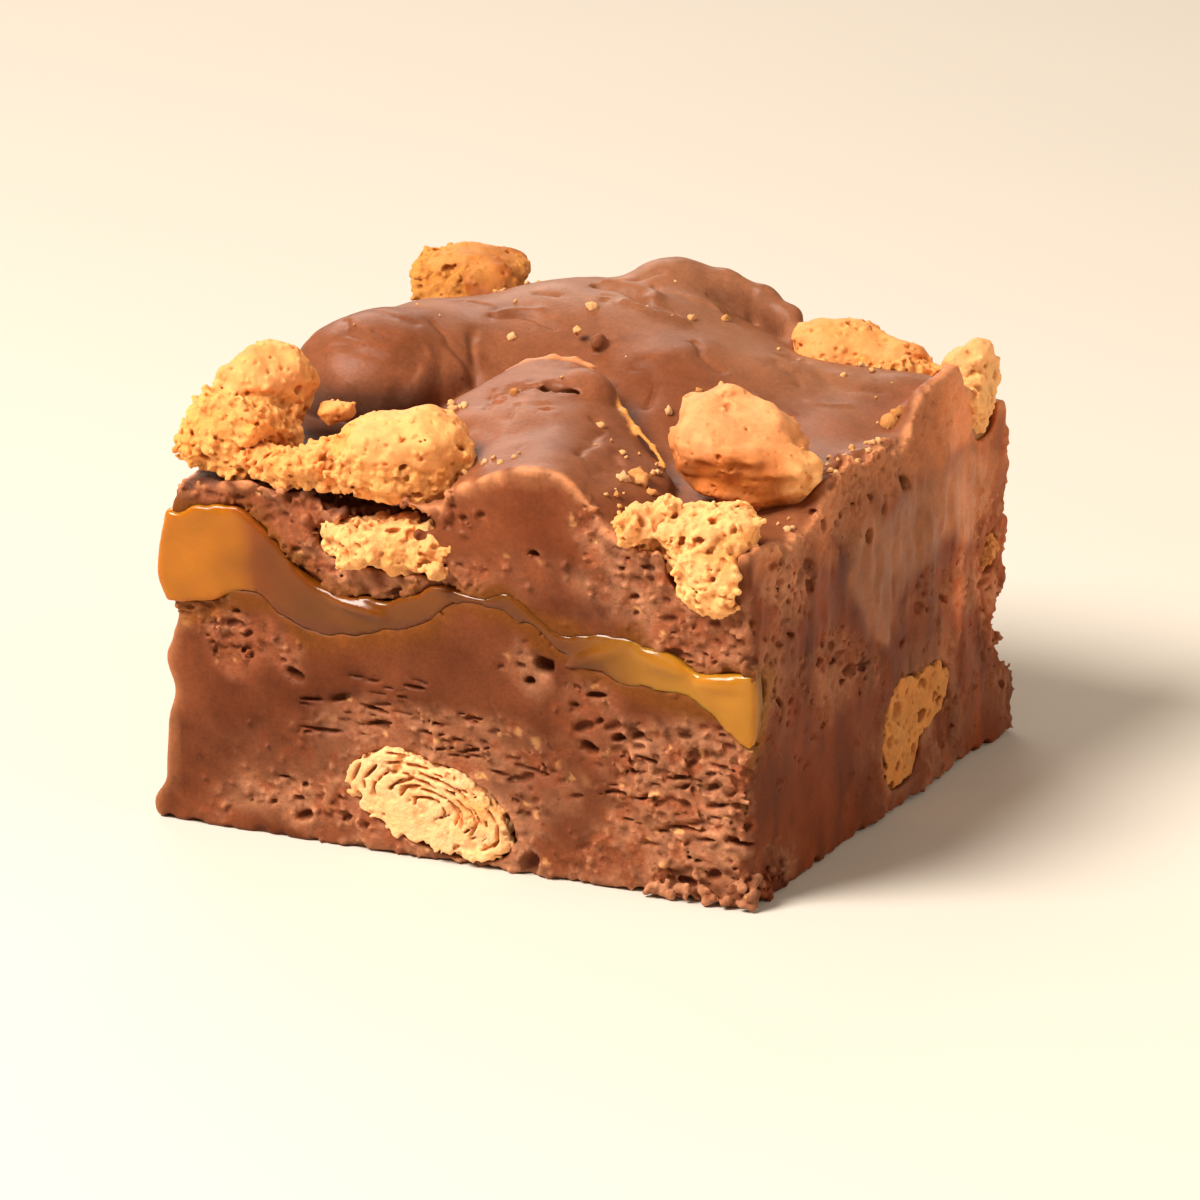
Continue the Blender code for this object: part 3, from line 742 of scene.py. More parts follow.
# single holes: face, along, up, half width, half height, depth, tilt
HOLES = [
    ("front", 8.5, 11.0, 0.75, 0.32, 0.8, -25), ("front", 11.6, 9.8, 0.85, 0.30, 0.9, 18), ("front", 25.3, 21.0, 0.42, 0.2, 0.6, -8),
    ("front", 25.9, 13.9, 0.75, 0.55, 1.3, -30), ("front", 24.9, 12.8, 0.4, 0.3, 0.8, 10), ("front", 28.9, 9.0, 0.7, 0.38, 1.1, -30),
    ("front", 30.9, 9.9, 0.55, 0.33, 1.0, 20), ("front", 32.1, 10.2, 0.5, 0.36, 1.0, 10), ("front", 29.6, 10.8, 0.35, 0.25, 0.7, 40),
    ("front", 8.8, 1.6, 0.75, 0.42, 1.1, 20), ("front", 8.0, 3.8, 0.4, 0.25, 0.6, 0), ("front", 37.2, 7.6, 0.8, 0.3, 0.9, 20),
    ("front", 38.6, 4.4, 0.7, 0.28, 0.9, -15), ("front", 36.4, 5.2, 0.7, 0.22, 0.7, 5), ("front", 23.7, 2.2, 0.3, 0.2, 0.5, 0),
    ("front", 24.8, 0.8, 0.7, 0.9, 1.0, -20), ("front", 27.9, 11.6, 0.35, 0.25, 0.6, 0), 
    ("right", 2.0, 15.7, 0.45, 0.28, 0.7, -10), ("right", 5.5, 16.2, 0.4, 0.22, 0.6, -10), ("right", 10.9, 21.9, 0.6, 0.42, 1.2, -10),
    ("right", 13.4, 21.3, 0.9, 0.22, 0.7, -12), ("right", 18.0, 19.3, 0.5, 0.55, 0.9, 0), ("right", 23.8, 21.3, 0.75, 0.5, 1.4, -12),
    ("right", 6.6, 18.6, 0.35, 0.25, 0.5, 0), ("right", 10.2, 13.2, 0.45, 0.3, 0.8, -30), ("right", 12.0, 14.5, 0.4, 0.26, 0.7, 0),
    ("right", 4.0, 12.4, 0.8, 0.22, 0.6, -40), ("right", 15.2, 11.3, 1.3, 0.3, 0.9, -6), 
    ("right", 30.1, 12.0, 0.7, 0.25, 0.7, -30), ("right", 23.4, 10.9, 0.9, 0.2, 0.6, 8), ("right", 37.5, 11.0, 1.3, 0.3, 1.0, -8),
    ("right", 26.1, 23.0, 0.5, 0.3, 0.7, 0), ("right", 19.9, 24.0, 0.45, 0.3, 0.8, 0),
]


def cut_holes(f, g):
    for face, along, up, ra, rz, depth, tilt in HOLES:
        if not g.lo[2] < up < g.axes[2][-1]:
            continue
        if face == "front":
            stamp(f, g, (along - 20, -19.95, up), (ra, depth, rz), turn_matrix(0, -tilt, 0))
        else:
            stamp(f, g, (19.95, along - 20, up), (depth, ra, rz), turn_matrix(tilt, 0, 0))
    return f


def chip_edges(f, g):
    """Small bites along the bottom edges and the broken front right corner."""
    rng = np.random.default_rng(77)
    for side in range(4):
        for along in np.arange(-19.5, 19.6, 0.55):
            if rng.random() < 0.45:
                continue
            r = rng.uniform(0.15, 0.55)
            at = (along + rng.uniform(-0.3, 0.3), -20.0 - rng.uniform(-0.1, 0.2)) if side < 1 else (along, 20.6) if side == 1 else (20.05, along) if side == 2 else (-20.9, along)
            stamp(f, g, (at[0], at[1], rng.uniform(-0.25, 0.1)), (r * rng.uniform(1, 2.2), r * rng.uniform(1, 1.6), r), turn_matrix(0, rng.uniform(-20, 20), rng.uniform(-30, 30)), soft=0.06)
    for x, y, z, r in ((20.3, -20.4, 0.0, 1.3), (20.6, -20.3, 1.6, 0.9), (18.6, -20.5, -0.2, 0.9), (16.9, -20.4, -0.3, 0.8), (20.6, -18.4, -0.2, 1.0), (20.4, -16.6, -0.3, 0.7), (1.6, -20.3, -0.2, 0.9)):
        stamp(f, g, (x, y, z), (r * 1.2, r, r), turn_matrix(20, 30, 10), soft=0.2)
    for _ in range(70):
        x, y = (rng.uniform(13, 20.0), -19.95) if rng.random() < 0.6 else (19.95, rng.uniform(-20, -14))
        stamp(f, g, (x, y, rng.uniform(0.2, 2.4) * rng.random() + 0.3), tuple(rng.uniform(0.14, 0.42, 3)), turn_matrix(*rng.uniform(-60, 60, 3)), cut=False, soft=0.05)
    return np.maximum(f, -g.Z)


def ragged(g, upper):
    """The caramel's top or underside with the small unevenness of its cut edge."""
    a, b = g.axes[0], g.axes[1]
    wave = 0.16 * noise2(a, b, 1.5, 41 + upper) + 0.09 * noise2(a, b, 0.6, 43 + upper)
    return (caramel_top(g.X, g.Y) if upper else caramel_low(g.X, g.Y)) + wave[:, :, None]


def body_grid(lo_z, hi_z, coarse=1.0):
    return Grid((-24.2, -21.8, lo_z), (22.0, 24.8, hi_z), BODY_VOXEL * coarse)


# ------------------------------------------------------------------ colours, one per vertex, before the shader's own mottling

def shade(r, g, b, light=1.0):
    """Linear surface colour for a displayed 8-bit colour under the given light."""
    c = np.array([r, g, b]) / 255
    return np.where(c < 0.04045, c / 12.92, ((c + 0.055) / 1.055) ** 2.4) / light


def mixed(a, b, t):
    a, b = np.atleast_2d(a), np.atleast_2d(b)
    return a + (b - a) * np.asarray(t)[:, None]


def paint(obj, rgb):
    layer = obj.data.attributes.new("tint", "FLOAT_COLOR", "POINT")
    rgba = np.ones((len(rgb), 4), np.float32)
    rgba[:, :3] = np.clip(rgb, 0.0, 0.95)
    layer.data.foreach_set("color", rgba.ravel())


def points_noise(own, scale, seed):
    """noise3 read at points instead of on a grid."""
    scales = np.array((scale,) * 3 if np.isscalar(scale) else scale, np.float64)
    cells = [int(2 * SPAN / s) + 5 for s in scales]
    raw = np.random.default_rng(seed).standard_normal(cells, dtype=np.float32)
    t = (own + SPAN) / scales
    i = np.floor(t).astype(np.int32)
    f = (t - i).astype(np.float32)
    w = np.stack([(1 - f) ** 3, 3 * f ** 3 - 6 * f ** 2 + 4, -3 * f ** 3 + 3 * f ** 2 + 3 * f + 1, f ** 3]) / 6
    out = np.zeros(len(own), np.float32)
    for a in range(4):
        for b in range(4):
            for c in range(4):
                out += w[a, :, 0] * w[b, :, 1] * w[c, :, 2] * raw[i[:, 0] + a, i[:, 1] + b, i[:, 2] + c]
    return out * np.float32(3.015)


FRONT_LIGHT, SIDE_LIGHT, TOP_LIGHT = 1.25, 0.65, 1.55
SMOOTH = np.array([0.128, 0.0300, 0.0082])
DEEP = np.array([0.100, 0.0220, 0.0060])
LIGHTER = np.array([0.190, 0.0500, 0.0165])
CRUMBLY = np.array([0.55, 0.245, 0.125])
# reddish crumb colour, also used as painted shade in pits and in the slot under the split biscuit
RED_CRUMB_AND_PIT_SHADE = np.array([0.25, 0.072, 0.028])
# painted shade colour for the pits of the cut faces
PIT_SHADE = np.array([0.060, 0.0120, 0.0040])
# lighter, greyer brown of the top: painted sheen and top light over the chocolate's brown
TOP_TONE_AND_PAINTED_SHEEN = np.array([0.238, 0.078, 0.032])
# painted highlight colour for the cut edges and the tongue's crest
RIM_HIGHLIGHT = np.array([0.52, 0.21, 0.090])
# tan of the caramel smear on the right face, partly painted sheen reflecting the backdrop
SMEAR_AND_SHEEN_TAN = np.array([0.270, 0.096, 0.038])
SIDE = np.array([0.140, 0.0270, 0.0052])
SIDE_UP = np.array([0.460, 0.160, 0.062])
AMBER = np.array([0.38, 0.125, 0.004])
AMBER_MID = np.array([0.19, 0.044, 0.003])
OLIVE = np.array([0.150, 0.042, 0.003])
HONEY = np.array([0.40, 0.170, 0.013])
PALE = np.array([0.90, 0.51, 0.245])
SANDY = np.array([0.88, 0.445, 0.165])
GOLD = np.array([0.78, 0.335, 0.095])
# dark crumb colour, also painted shade in crevices
DARK_CRUMB_AND_CREVICE_SHADE = np.array([0.42, 0.145, 0.028])
BAKED = np.array([0.74, 0.280, 0.100])
BAKED_LIGHT = np.array([0.83, 0.385, 0.155])
# toasted brown, also painted shade in the crust's pits
TOASTED_AND_PIT_SHADE = np.array([0.46, 0.130, 0.022])


# ------------------------------------------------------------------ biscuit pieces

class Lump:
    """What a biscuit piece is made of: rounded blocks, where it keeps its crust, and how it breaks."""

    def __init__(self, blocks, crust, seed, knob=0.55, flush=None, pores=1.0, layered=0.0, toast=0.3, cuts=(), pocket=0.25, pale=0.0, facets=0, wrinkle=0.0, join=0.45, planes=(), dim=1.0):
        self.blocks, self.crust, self.seed, self.knob = blocks, crust, seed, knob
        self.flush, self.pores, self.layered, self.toast, self.cuts = flush, pores, layered, toast, cuts
        self.pocket, self.pale, self.facets, self.wrinkle = pocket, pale, facets, wrinkle
        self.join, self.planes, self.dim = join, planes, dim


def rounded_block(dx, dy, dz, radii, square):
    """Between an ellipsoid (square 2) and a box (larger)."""
    a, b, c = radii
    n = square
    r = (np.abs(dx / a) ** n + np.abs(dy / b) ** n + np.abs(dz / c) ** n) ** (1 / n)
    return (r - 1) * min(radii)


def lump_form(g, lump, where=(slice(None),) * 3):
    """The lump's plain shape, before it is broken up."""
    X, Y, Z = g.X[where[0]], g.Y[:, where[1]], g.Z[:, :, where[2]]
    f = None
    for at, radii, turn, square in lump.blocks:
        r = turn_matrix(*turn).T
        dx, dy, dz = X - at[0], Y - at[1], Z - at[2]
        px = r[0, 0] * dx + r[0, 1] * dy + r[0, 2] * dz
        py = r[1, 0] * dx + r[1, 1] * dy + r[1, 2] * dz
        pz = r[2, 0] * dx + r[2, 1] * dy + r[2, 2] * dz
        d = rounded_block(px, py, pz, radii, square)
        f = d if f is None else smin(f, d, lump.join)
    for at, out, soft in lump.planes:
        out = np.array(out, float) / np.linalg.norm(out)
        f = smax(f, (X - at[0]) * out[0] + (Y - at[1]) * out[1] + (Z - at[2]) * out[2], soft)
    rng = np.random.default_rng(lump.seed + 60)
    lo = np.min([np.array(b[0]) - np.array(b[1]) for b in lump.blocks], 0)
    hi = np.max([np.array(b[0]) + np.array(b[1]) for b in lump.blocks], 0)
    for _ in range(lump.facets):
        d = rng.normal(size=3)
        d[2] = abs(d[2]) * 0.8
        d /= np.linalg.norm(d)
        far = float(np.abs(d) @ ((hi - lo) / 2)) * rng.uniform(0.60, 0.78)
        mid = (lo + hi) / 2
        f = smax(f, (X - mid[0]) * d[0] + (Y - mid[1]) * d[1] + (Z - mid[2]) * d[2] - far, 0.5)
    return f


def make_pockets(f, g):
    """Opens the fudge where a biscuit piece sits, with a thin dark gap round it."""
    for node, lump in LUMPS.items():
        lo = np.min([np.array(b[0]) - 1.25 * max(b[1]) for b in lump.blocks], 0) - 1
        hi = np.max([np.array(b[0]) + 1.25 * max(b[1]) for b in lump.blocks], 0) + 1
        where = tuple(slice(max(0, int((l - o) / g.h)), max(0, min(n, int((h - o) / g.h) + 1))) for l, h, o, n in zip(lo, hi, g.lo, g.n))
        if any(s.stop <= s.start for s in where):
            continue
        f[where] = smax(f[where], lump.pocket - lump_form(g, lump, where) - 0.35, 0.2)
    return f


def lump_mesh(node, lump):
    mid, half = node_box(node)
    lo = np.min([np.array(b[0]) - 1.2 * max(b[1]) for b in lump.blocks], 0) - 0.8
    hi = np.max([np.array(b[0]) + 1.2 * max(b[1]) for b in lump.blocks], 0) + 0.8
    g = Grid(np.maximum(lo, [-24, -21.6, 0]), np.minimum(hi, [21.6, 24, 33]), LUMP_VOXEL)
    f = lump_form(g, lump)
    s = lump.seed
    f = f + noise3(g, 2.6, s) * 0.26 + noise3(g, 1.3, s + 1) * 0.10
    # crust where the piece faces its baked side
    crust = np.zeros(f.shape, np.float32)
    for direction, offset in lump.crust:
        d = np.array(direction, np.float32)
        d /= np.linalg.norm(d)
        level = (g.X - mid[0]) * d[0] + (g.Y - mid[1]) * d[1] + (g.Z - mid[2]) * d[2] - offset
        crust = np.maximum(crust, smoothstep(-0.3, 0.3, level + 0.45 * noise3(g, 1.1, s + 2)))
    rough = (1 - crust).astype(np.float32)
    k = lump.knob
    f = f + rough * k * (0.20 + 0.16 * noise3(g, 0.9, s + 3))
    f = f + crust * (0.06 * noise3(g, 0.9, s + 6) + 0.03 * noise3(g, 0.42, s + 7))
    if lump.wrinkle:
        f = f + crust * lump.wrinkle * noise3(g, (1.6, 1.6, 0.28), s + 8)
    f = np.ascontiguousarray(f, np.float32)
    if "front" in (lump.flush or ()) or "right" in (lump.flush or ()) or "left" in (lump.flush or ()) or "back" in (lump.flush or ()):
        f = trim(f, g, lump)
    sandy = rough + (0.08 if lump.wrinkle else 0.30) * crust
    f = np.ascontiguousarray(f + sandy * (0.07 * noise3(g, 0.5, s + 9) + 0.045 * noise3(g, 0.3, s + 10)), np.float32)
    scatter(f, g, rough, 1.1, (0.22, 0.30 + 0.30 * k), s + 20, tilt=(60, 60, 60), soft=0.05, sink=0.5)
    scatter(f, g, sandy, 2.4 * lump.pores, (0.10, 0.27), s + 21, cut=True, flat=(1, 1, 0.7), tilt=(30, 30, 90), soft=0.02)
    scatter(f, g, rough, 0.40 * lump.pores, (0.26, 0.25 + 0.5 * k), s + 24, cut=True, flat=(1, 1, 0.7), tilt=(30, 30, 90), soft=0.03)
    scatter(f, g, sandy, 4.6, (0.12, 0.22), s + 22, tilt=(60, 60, 60), soft=0.03, sink=0.5)
    scatter(f, g, crust, 0.10, (0.12, 0.34), s + 23, cut=True, flat=(1, 1, 0.8), tilt=(20, 20, 90))
    scatter(f, g, crust, 0.7, (0.07, 0.16), s + 25, cut=True, flat=(1, 1, 0.8), tilt=(20, 20, 90))
    if lump.layered:
        rings(f, g, lump)
    for at, radii, turn in lump.cuts:
        stamp(f, g, at, radii, turn_matrix(*turn), soft=0.15)
    if lump.flush is not None:
        f = trim(f, g, lump)
    cavity = cavity_of(f, g.h, 0.38)
    obj, own = mesh_of(node + "_piece", f.astype(np.float32), g)
    crust_at = sample(crust, g, own)
    attribute(obj, "crust", crust_at)
    paint(obj, biscuit_colour(own, mid, half, lump, crust_at, sample(cavity, g, own)))
    return obj


def trim(f, g, lump):
    """Cuts the lump off flush with the faces it shows at."""
    if "front" in lump.flush:
        f = smax(f, -20.06 - g.Y, 0.1)
    if "right" in lump.flush:
        f = smax(f, g.X - 20.06, 0.1)
    if "left" in lump.flush:
        f = smax(f, left_x(g.axes[1], g.axes[2])[None, :, :] - 0.08 - g.X, 0.1)
    if "back" in lump.flush:
        f = smax(f, g.Y - back_y(g.axes[0], g.axes[2])[:, None, :] - 0.08, 0.1)
    return np.ascontiguousarray(smax(f, 0.25 - g.Z, 0.15), np.float32)


def rings(f, g, lump):
    """Thin pores in arches, one inside the other, as in a rolled and baked dough."""
    rng = np.random.default_rng(lump.seed + 30)
    at, radii, turn, _ = lump.blocks[0]
    turn = turn_matrix(*turn)
    side = "left" in lump.flush
    for step in np.arange(0.18, 1.0, 0.155):
        around = step * (radii[1] if side else radii[0])
        for angle in np.arange(rng.uniform(-0.6, -0.3), 1.12 * math.pi, 0.80 / (0.6 + around)):
            if rng.random() < 0.38:
                continue
            r = step + rng.normal(0, 0.028)
            c, s = math.cos(angle), math.sin(angle)
            p = (0.0, c * r * radii[1], s * r * radii[2]) if side else (c * r * radii[0], 0.0, s * r * radii[2])
            p = turn @ np.array(p) + np.array(at)
            slope = math.degrees(math.atan2(c * radii[2], -s * (radii[1] if side else radii[0])))
            long, thin = rng.uniform(0.25, 0.85), rng.uniform(0.06, 0.13)
            if side:
                stamp(f, g, (left_at(p), p[1], p[2]), (rng.uniform(0.4, 0.9), long, thin), turn_matrix(slope, 0, 0))
            else:
                stamp(f, g, (p[0], -20.0, p[2]), (long, rng.uniform(0.4, 0.9), thin), turn_matrix(0, -slope, 0) @ turn)


def left_at(p):
    return float(left_x(np.array([p[1]], np.float32), np.array([p[2]], np.float32))[0, 0])


def biscuit_colour(own, mid, half, lump, crust, cavity):
    """Pale and sandy where broken, orange where baked, browner low down and along the crust's rim, with painted shade
    in pits and crevices.
    """
    up = (own[:, 2] - mid[2]) / half[2]
    mottle = points_noise(own, 1.6, lump.seed + 40)
    fine = points_noise(own, 0.5, lump.seed + 41)
    # painted shade: pits turn less pale
    pale = mixed(SANDY, PALE, np.clip(lump.pale + 0.25 * mottle - 0.3 * cavity, 0, 1))
    broken = mixed(pale, GOLD, np.clip(0.30 + 0.30 * mottle + 0.10 * fine - 0.4 * lump.pale, 0, 1))
    # painted shade: crevices of the broken crumb darken
    broken = mixed(broken, DARK_CRUMB_AND_CREVICE_SHADE, np.clip(0.12 + 1.3 * cavity, 0, 1))
    toast = np.clip(lump.toast * (0.15 + smoothstep(0.45, -0.7, up) + 0.35 * mottle), 0, 1)
    tones = (BAKED, BAKED_LIGHT) if lump.wrinkle else (BAKED_LIGHT, SANDY)
    # crust goes toasted brown by the piece's toast and low down, and darker in its pits as painted shade
    baked = mixed(mixed(*tones, np.clip(0.5 + 0.4 * mottle, 0, 1)), TOASTED_AND_PIT_SHADE, np.clip(toast + 0.7 * np.clip(cavity - 0.1, 0, 1), 0, 1))
    out = mixed(broken, baked, crust)
    if lump.wrinkle:
        band = smoothstep(26.0, 24.6, own[:, 2] + 0.25 * mottle + 0.12 * (own[:, 0] - 14)) * smoothstep(-8.0, -10.5, own[:, 1])
        out = mixed(out, TOASTED_AND_PIT_SHADE * 1.1, np.clip(band * (0.75 + 0.5 * fine), 0, 1))
        end = smoothstep(17.4, 18.6, own[:, 0] + 0.3 * mottle)
        out = mixed(out, mixed(GOLD, SANDY, np.clip(0.5 + 0.5 * fine, 0, 1)), 0.8 * end)
    return out * np.array(lump.dim) * (1 + 0.05 * fine)[:, None]


LUMPS = {
    "biscuit_corner": Lump([((-17.2, -17.0, 25.2), (3.8, 3.0, 2.9), (0, 6, -4), 3.4), ((-17.2, -14.6, 27.2), (2.8, 3.0, 3.0), (0, 12, 0), 3.4)],
                           [((0.35, 0.1, 1.0), 0.6)], 101, knob=0.45, toast=0.6, join=0.3, pale=-0.4, dim=(1.0, 0.91, 0.76), planes=[((-19.9, -17, 26.7), (-1, -0.1, 0.9), 0.5)]),
    "biscuit_split_top": Lump([((-5.1, -17.4, 25.0), (4.5, 3.1, 3.0), (0, 6, 0), 2.3), ((-9.4, -18.0, 24.5), (3.9, 2.5, 1.7), (0, -12, 0), 2.4), ((-13.0, -18.7, 23.8), (2.4, 1.7, 1.3), (0, 0, 0), 2.2)],
                              [((0.06, -0.18, 1.0), 0.35)], 121, knob=0.5, toast=0.15, join=0.8, dim=(0.99, 0.88, 0.74), cuts=[((-5.6, -20.4, 21.7), (6.4, 3.4, 1.0), (0, 7, 0))]),
    "biscuit_split_base": Lump([((-5.3, -17.9, 20.0), (4.9, 3.1, 1.7), (0, 2, 0), 2.8)], [((0, 0, -1), 99)], 141, knob=0.6, toast=0.1, pocket=0.35),
    "biscuit_chip": Lump([((-11.8, -12.8, 26.2), (1.9, 1.2, 0.9), (0, -10, 20), 3.0)], [((0, 0, 1), -9)], 161, knob=0.16, toast=0.3, pores=0.4, facets=4, dim=(0.98, 0.80, 0.54)),
    "biscuit_pillow": Lump([((12.4, -7.2, 26.3), (2.7, 3.2, 2.6), (0, 6, -30), 2.8), ((13.7, -8.4, 25.6), (3.2, 3.0, 2.0), (0, 14, -20), 2.6), ((14.8, -9.4, 25.1), (4.0, 3.0, 2.1), (0, 12, -10), 3.0)],
                           [((0, 0, 1), -9)], 181, knob=0.3, toast=0.9, wrinkle=0.05, join=1.6, planes=[((14.5, -5.2, 27.0), (0.46, 0.47, 0.75), 0.6), ((12.5, -8.0, 28.6), (0.12, -0.30, 1.0), 0.7)]),
    "biscuit_front_right": Lump([((15.3, -18.2, 22.8), (2.6, 2.5, 1.7), (0, 6, 0), 2.3), ((17.6, -18.6, 22.9), (2.2, 2.3, 1.9), (0, 0, 0), 2.3), ((16.4, -19.0, 21.3), (2.6, 2.1, 1.9), (0, 0, 0), 2.3), ((16.9, -19.3, 19.9), (2.0, 1.6, 1.5), (0, 0, 0), 2.2),
                                 ((12.4, -18.9, 23.2), (1.8, 1.6, 1.2), (0, 24, 0), 2.2), ((13.6, -18.6, 24.4), (0.9, 0.9, 1.0), (0, 0, 0), 2.2)],
                                [((0.1, 0.35, 1.0), 3.0)], 201, knob=0.65, toast=0.1, pale=0.4, pocket=0.25, dim=(1.0, 0.94, 0.86)),
    "biscuit_back_left": Lump([((-15.9, 13.6, 28.1), (4.1, 3.4, 2.6), (5, 4, 12), 2.6)], [((0.3, -0.2, 1.0), 0.8)], 221, knob=0.4, toast=1.3, dim=(0.66, 0.54, 0.29)),
    "biscuit_back_right": Lump([((9.5, 16.2, 25.6), (3.2, 2.7, 2.2), (0, 4, -18), 2.4), ((13.1, 16.2, 24.7), (3.2, 2.5, 1.9), (0, 12, 0), 2.4)],
                               [((0, 0, 1), -0.8)], 241, knob=0.35, toast=0.35, dim=(0.92, 0.78, 0.60)),
    "biscuit_rear_corner": Lump([((18.6, 17.0, 23.7), (2.0, 2.5, 3.3), (0, 0, 10), 2.6)], [((-0.2, 0, 1), 0.3)], 261, knob=0.45, toast=0.5, flush=("right",), facets=3, pocket=0.1),
    "biscuit_inset_front": Lump([((-2.0, -18.0, 3.6), (6.1, 4.6, 2.9), (0, 16, 0), 2.2)], [((0, 0, 1), 99)], 281, knob=0.30, toast=0.2, flush=("front",), layered=1.0, pores=0.6, pale=0.8, pocket=0.35),
    "biscuit_inset_right": Lump([((17.6, 3.0, 4.7), (4.6, 3.0, 3.8), (-8, 0, 0), 2.5), ((17.6, 7.0, 6.2), (4.4, 3.9, 2.2), (6, 0, 0), 2.5)], [((0, 0, 1), 99)], 301, knob=0.8, toast=0.5,
                                flush=("right",), cuts=[((20.2, 8.6, 3.2), (1.7, 2.0, 1.3), (24, 0, 0)), ((20.3, 2.2, 6.6), (0.9, 0.8, 0.7), (0, 0, 0))], join=1.4, pocket=0.3, dim=(0.62, 0.50, 0.34)),
    "biscuit_inset_rim": Lump([((18.9, 18.5, 12.8), (1.9, 1.5, 1.7), (0, 0, 0), 2.2)], [((0, 0, 1), 99)], 321, knob=0.5, toast=0.5, flush=("right",), dim=(0.7, 0.55, 0.42), pocket=0.1),
    "biscuit_inset_left": Lump([((-18.6, 4.5, 6.4), (4.2, 5.4, 2.8), (9, 0, 0), 2.3)], [((0, 0, 1), 99)], 341, knob=0.35, toast=0.2, flush=("left",), layered=0.9, pores=0.7, pale=0.6),
    "biscuit_inset_back": Lump([((-5.5, 18.6, 5.6), (5.6, 4.0, 2.9), (0, -8, 0), 2.3)], [((0, 0, 1), 99)], 361, knob=0.6, toast=0.3, flush=("back",)),
}

pieces = []

# ------------------------------------------------------------------ fudge and caramel

def smear_and_sheen_of(own):
    """Strength of the pale patch on the right face, 0 to 1: caramel smeared over the cut, its pale tan partly painted
    sheen.
    """
    v, z = own[:, 1] + 20, own[:, 2]
    n = 0.9 * points_noise(own, 2.6, 301) + 0.5 * points_noise(own, (0.8, 1.6, 1.2), 302)
    x, y = v + 0.8 * n, z + 0.5 * n
    def blob(cv, cz, rv, rz, tilt):
        c, s = math.cos(math.radians(tilt)), math.sin(math.radians(tilt))
        p, q = (c * (x - cv) + s * (y - cz)) / rv, (-s * (x - cv) + c * (y - cz)) / rz
        return smoothstep(1.25, 0.75, np.sqrt(p * p + q * q))
    m = np.maximum.reduce([blob(18.5, 17.0, 4.6, 3.0, -40), blob(26, 17.8, 6.5, 3.2, 8), blob(33.5, 18.3, 6.0, 2.9, 6), blob(21.0, 13.6, 1.6, 2.2, -30)])
    return m * smoothstep(17.5, 19.3, own[:, 0])


def right_face(own, colour, crumbly, crumb, mid):
    """The cut right face: dull brown, with the caramel drawn over it in a pale smear whose tan colour is partly
    painted sheen.
    """
    out = mixed(SIDE, crumbly * 0.62, np.clip(0.8 * crumb, 0, 1))
    streak = points_noise(own, (3.0, 0.7, 2.2), 304)
    out = out * (1 + 0.16 * streak)[:, None]
    up = smoothstep(19.0, 23.5, own[:, 2] + mid)
    out = mixed(out, SIDE_UP, 0.7 * up)
    fine = points_noise(own, (0.5, 0.9, 0.5), 303)
    smear_and_sheen = smear_and_sheen_of(own)
    # pale tan patch: caramel smear plus painted sheen
    out = mixed(out, SMEAR_AND_SHEEN_TAN * (1 + 0.07 * mid)[:, None], np.clip(smear_and_sheen * (0.95 + 0.10 * fine) - 0.45 * crumb, 0, 1))
    honey = smoothstep(-17.2, -19.6, own[:, 1] + 0.5 * mid) * smoothstep(8.0, 10.0, own[:, 2]) * smoothstep(16.0, 14.2, own[:, 2])
    return mixed(out, HONEY * 0.55, 0.75 * honey)


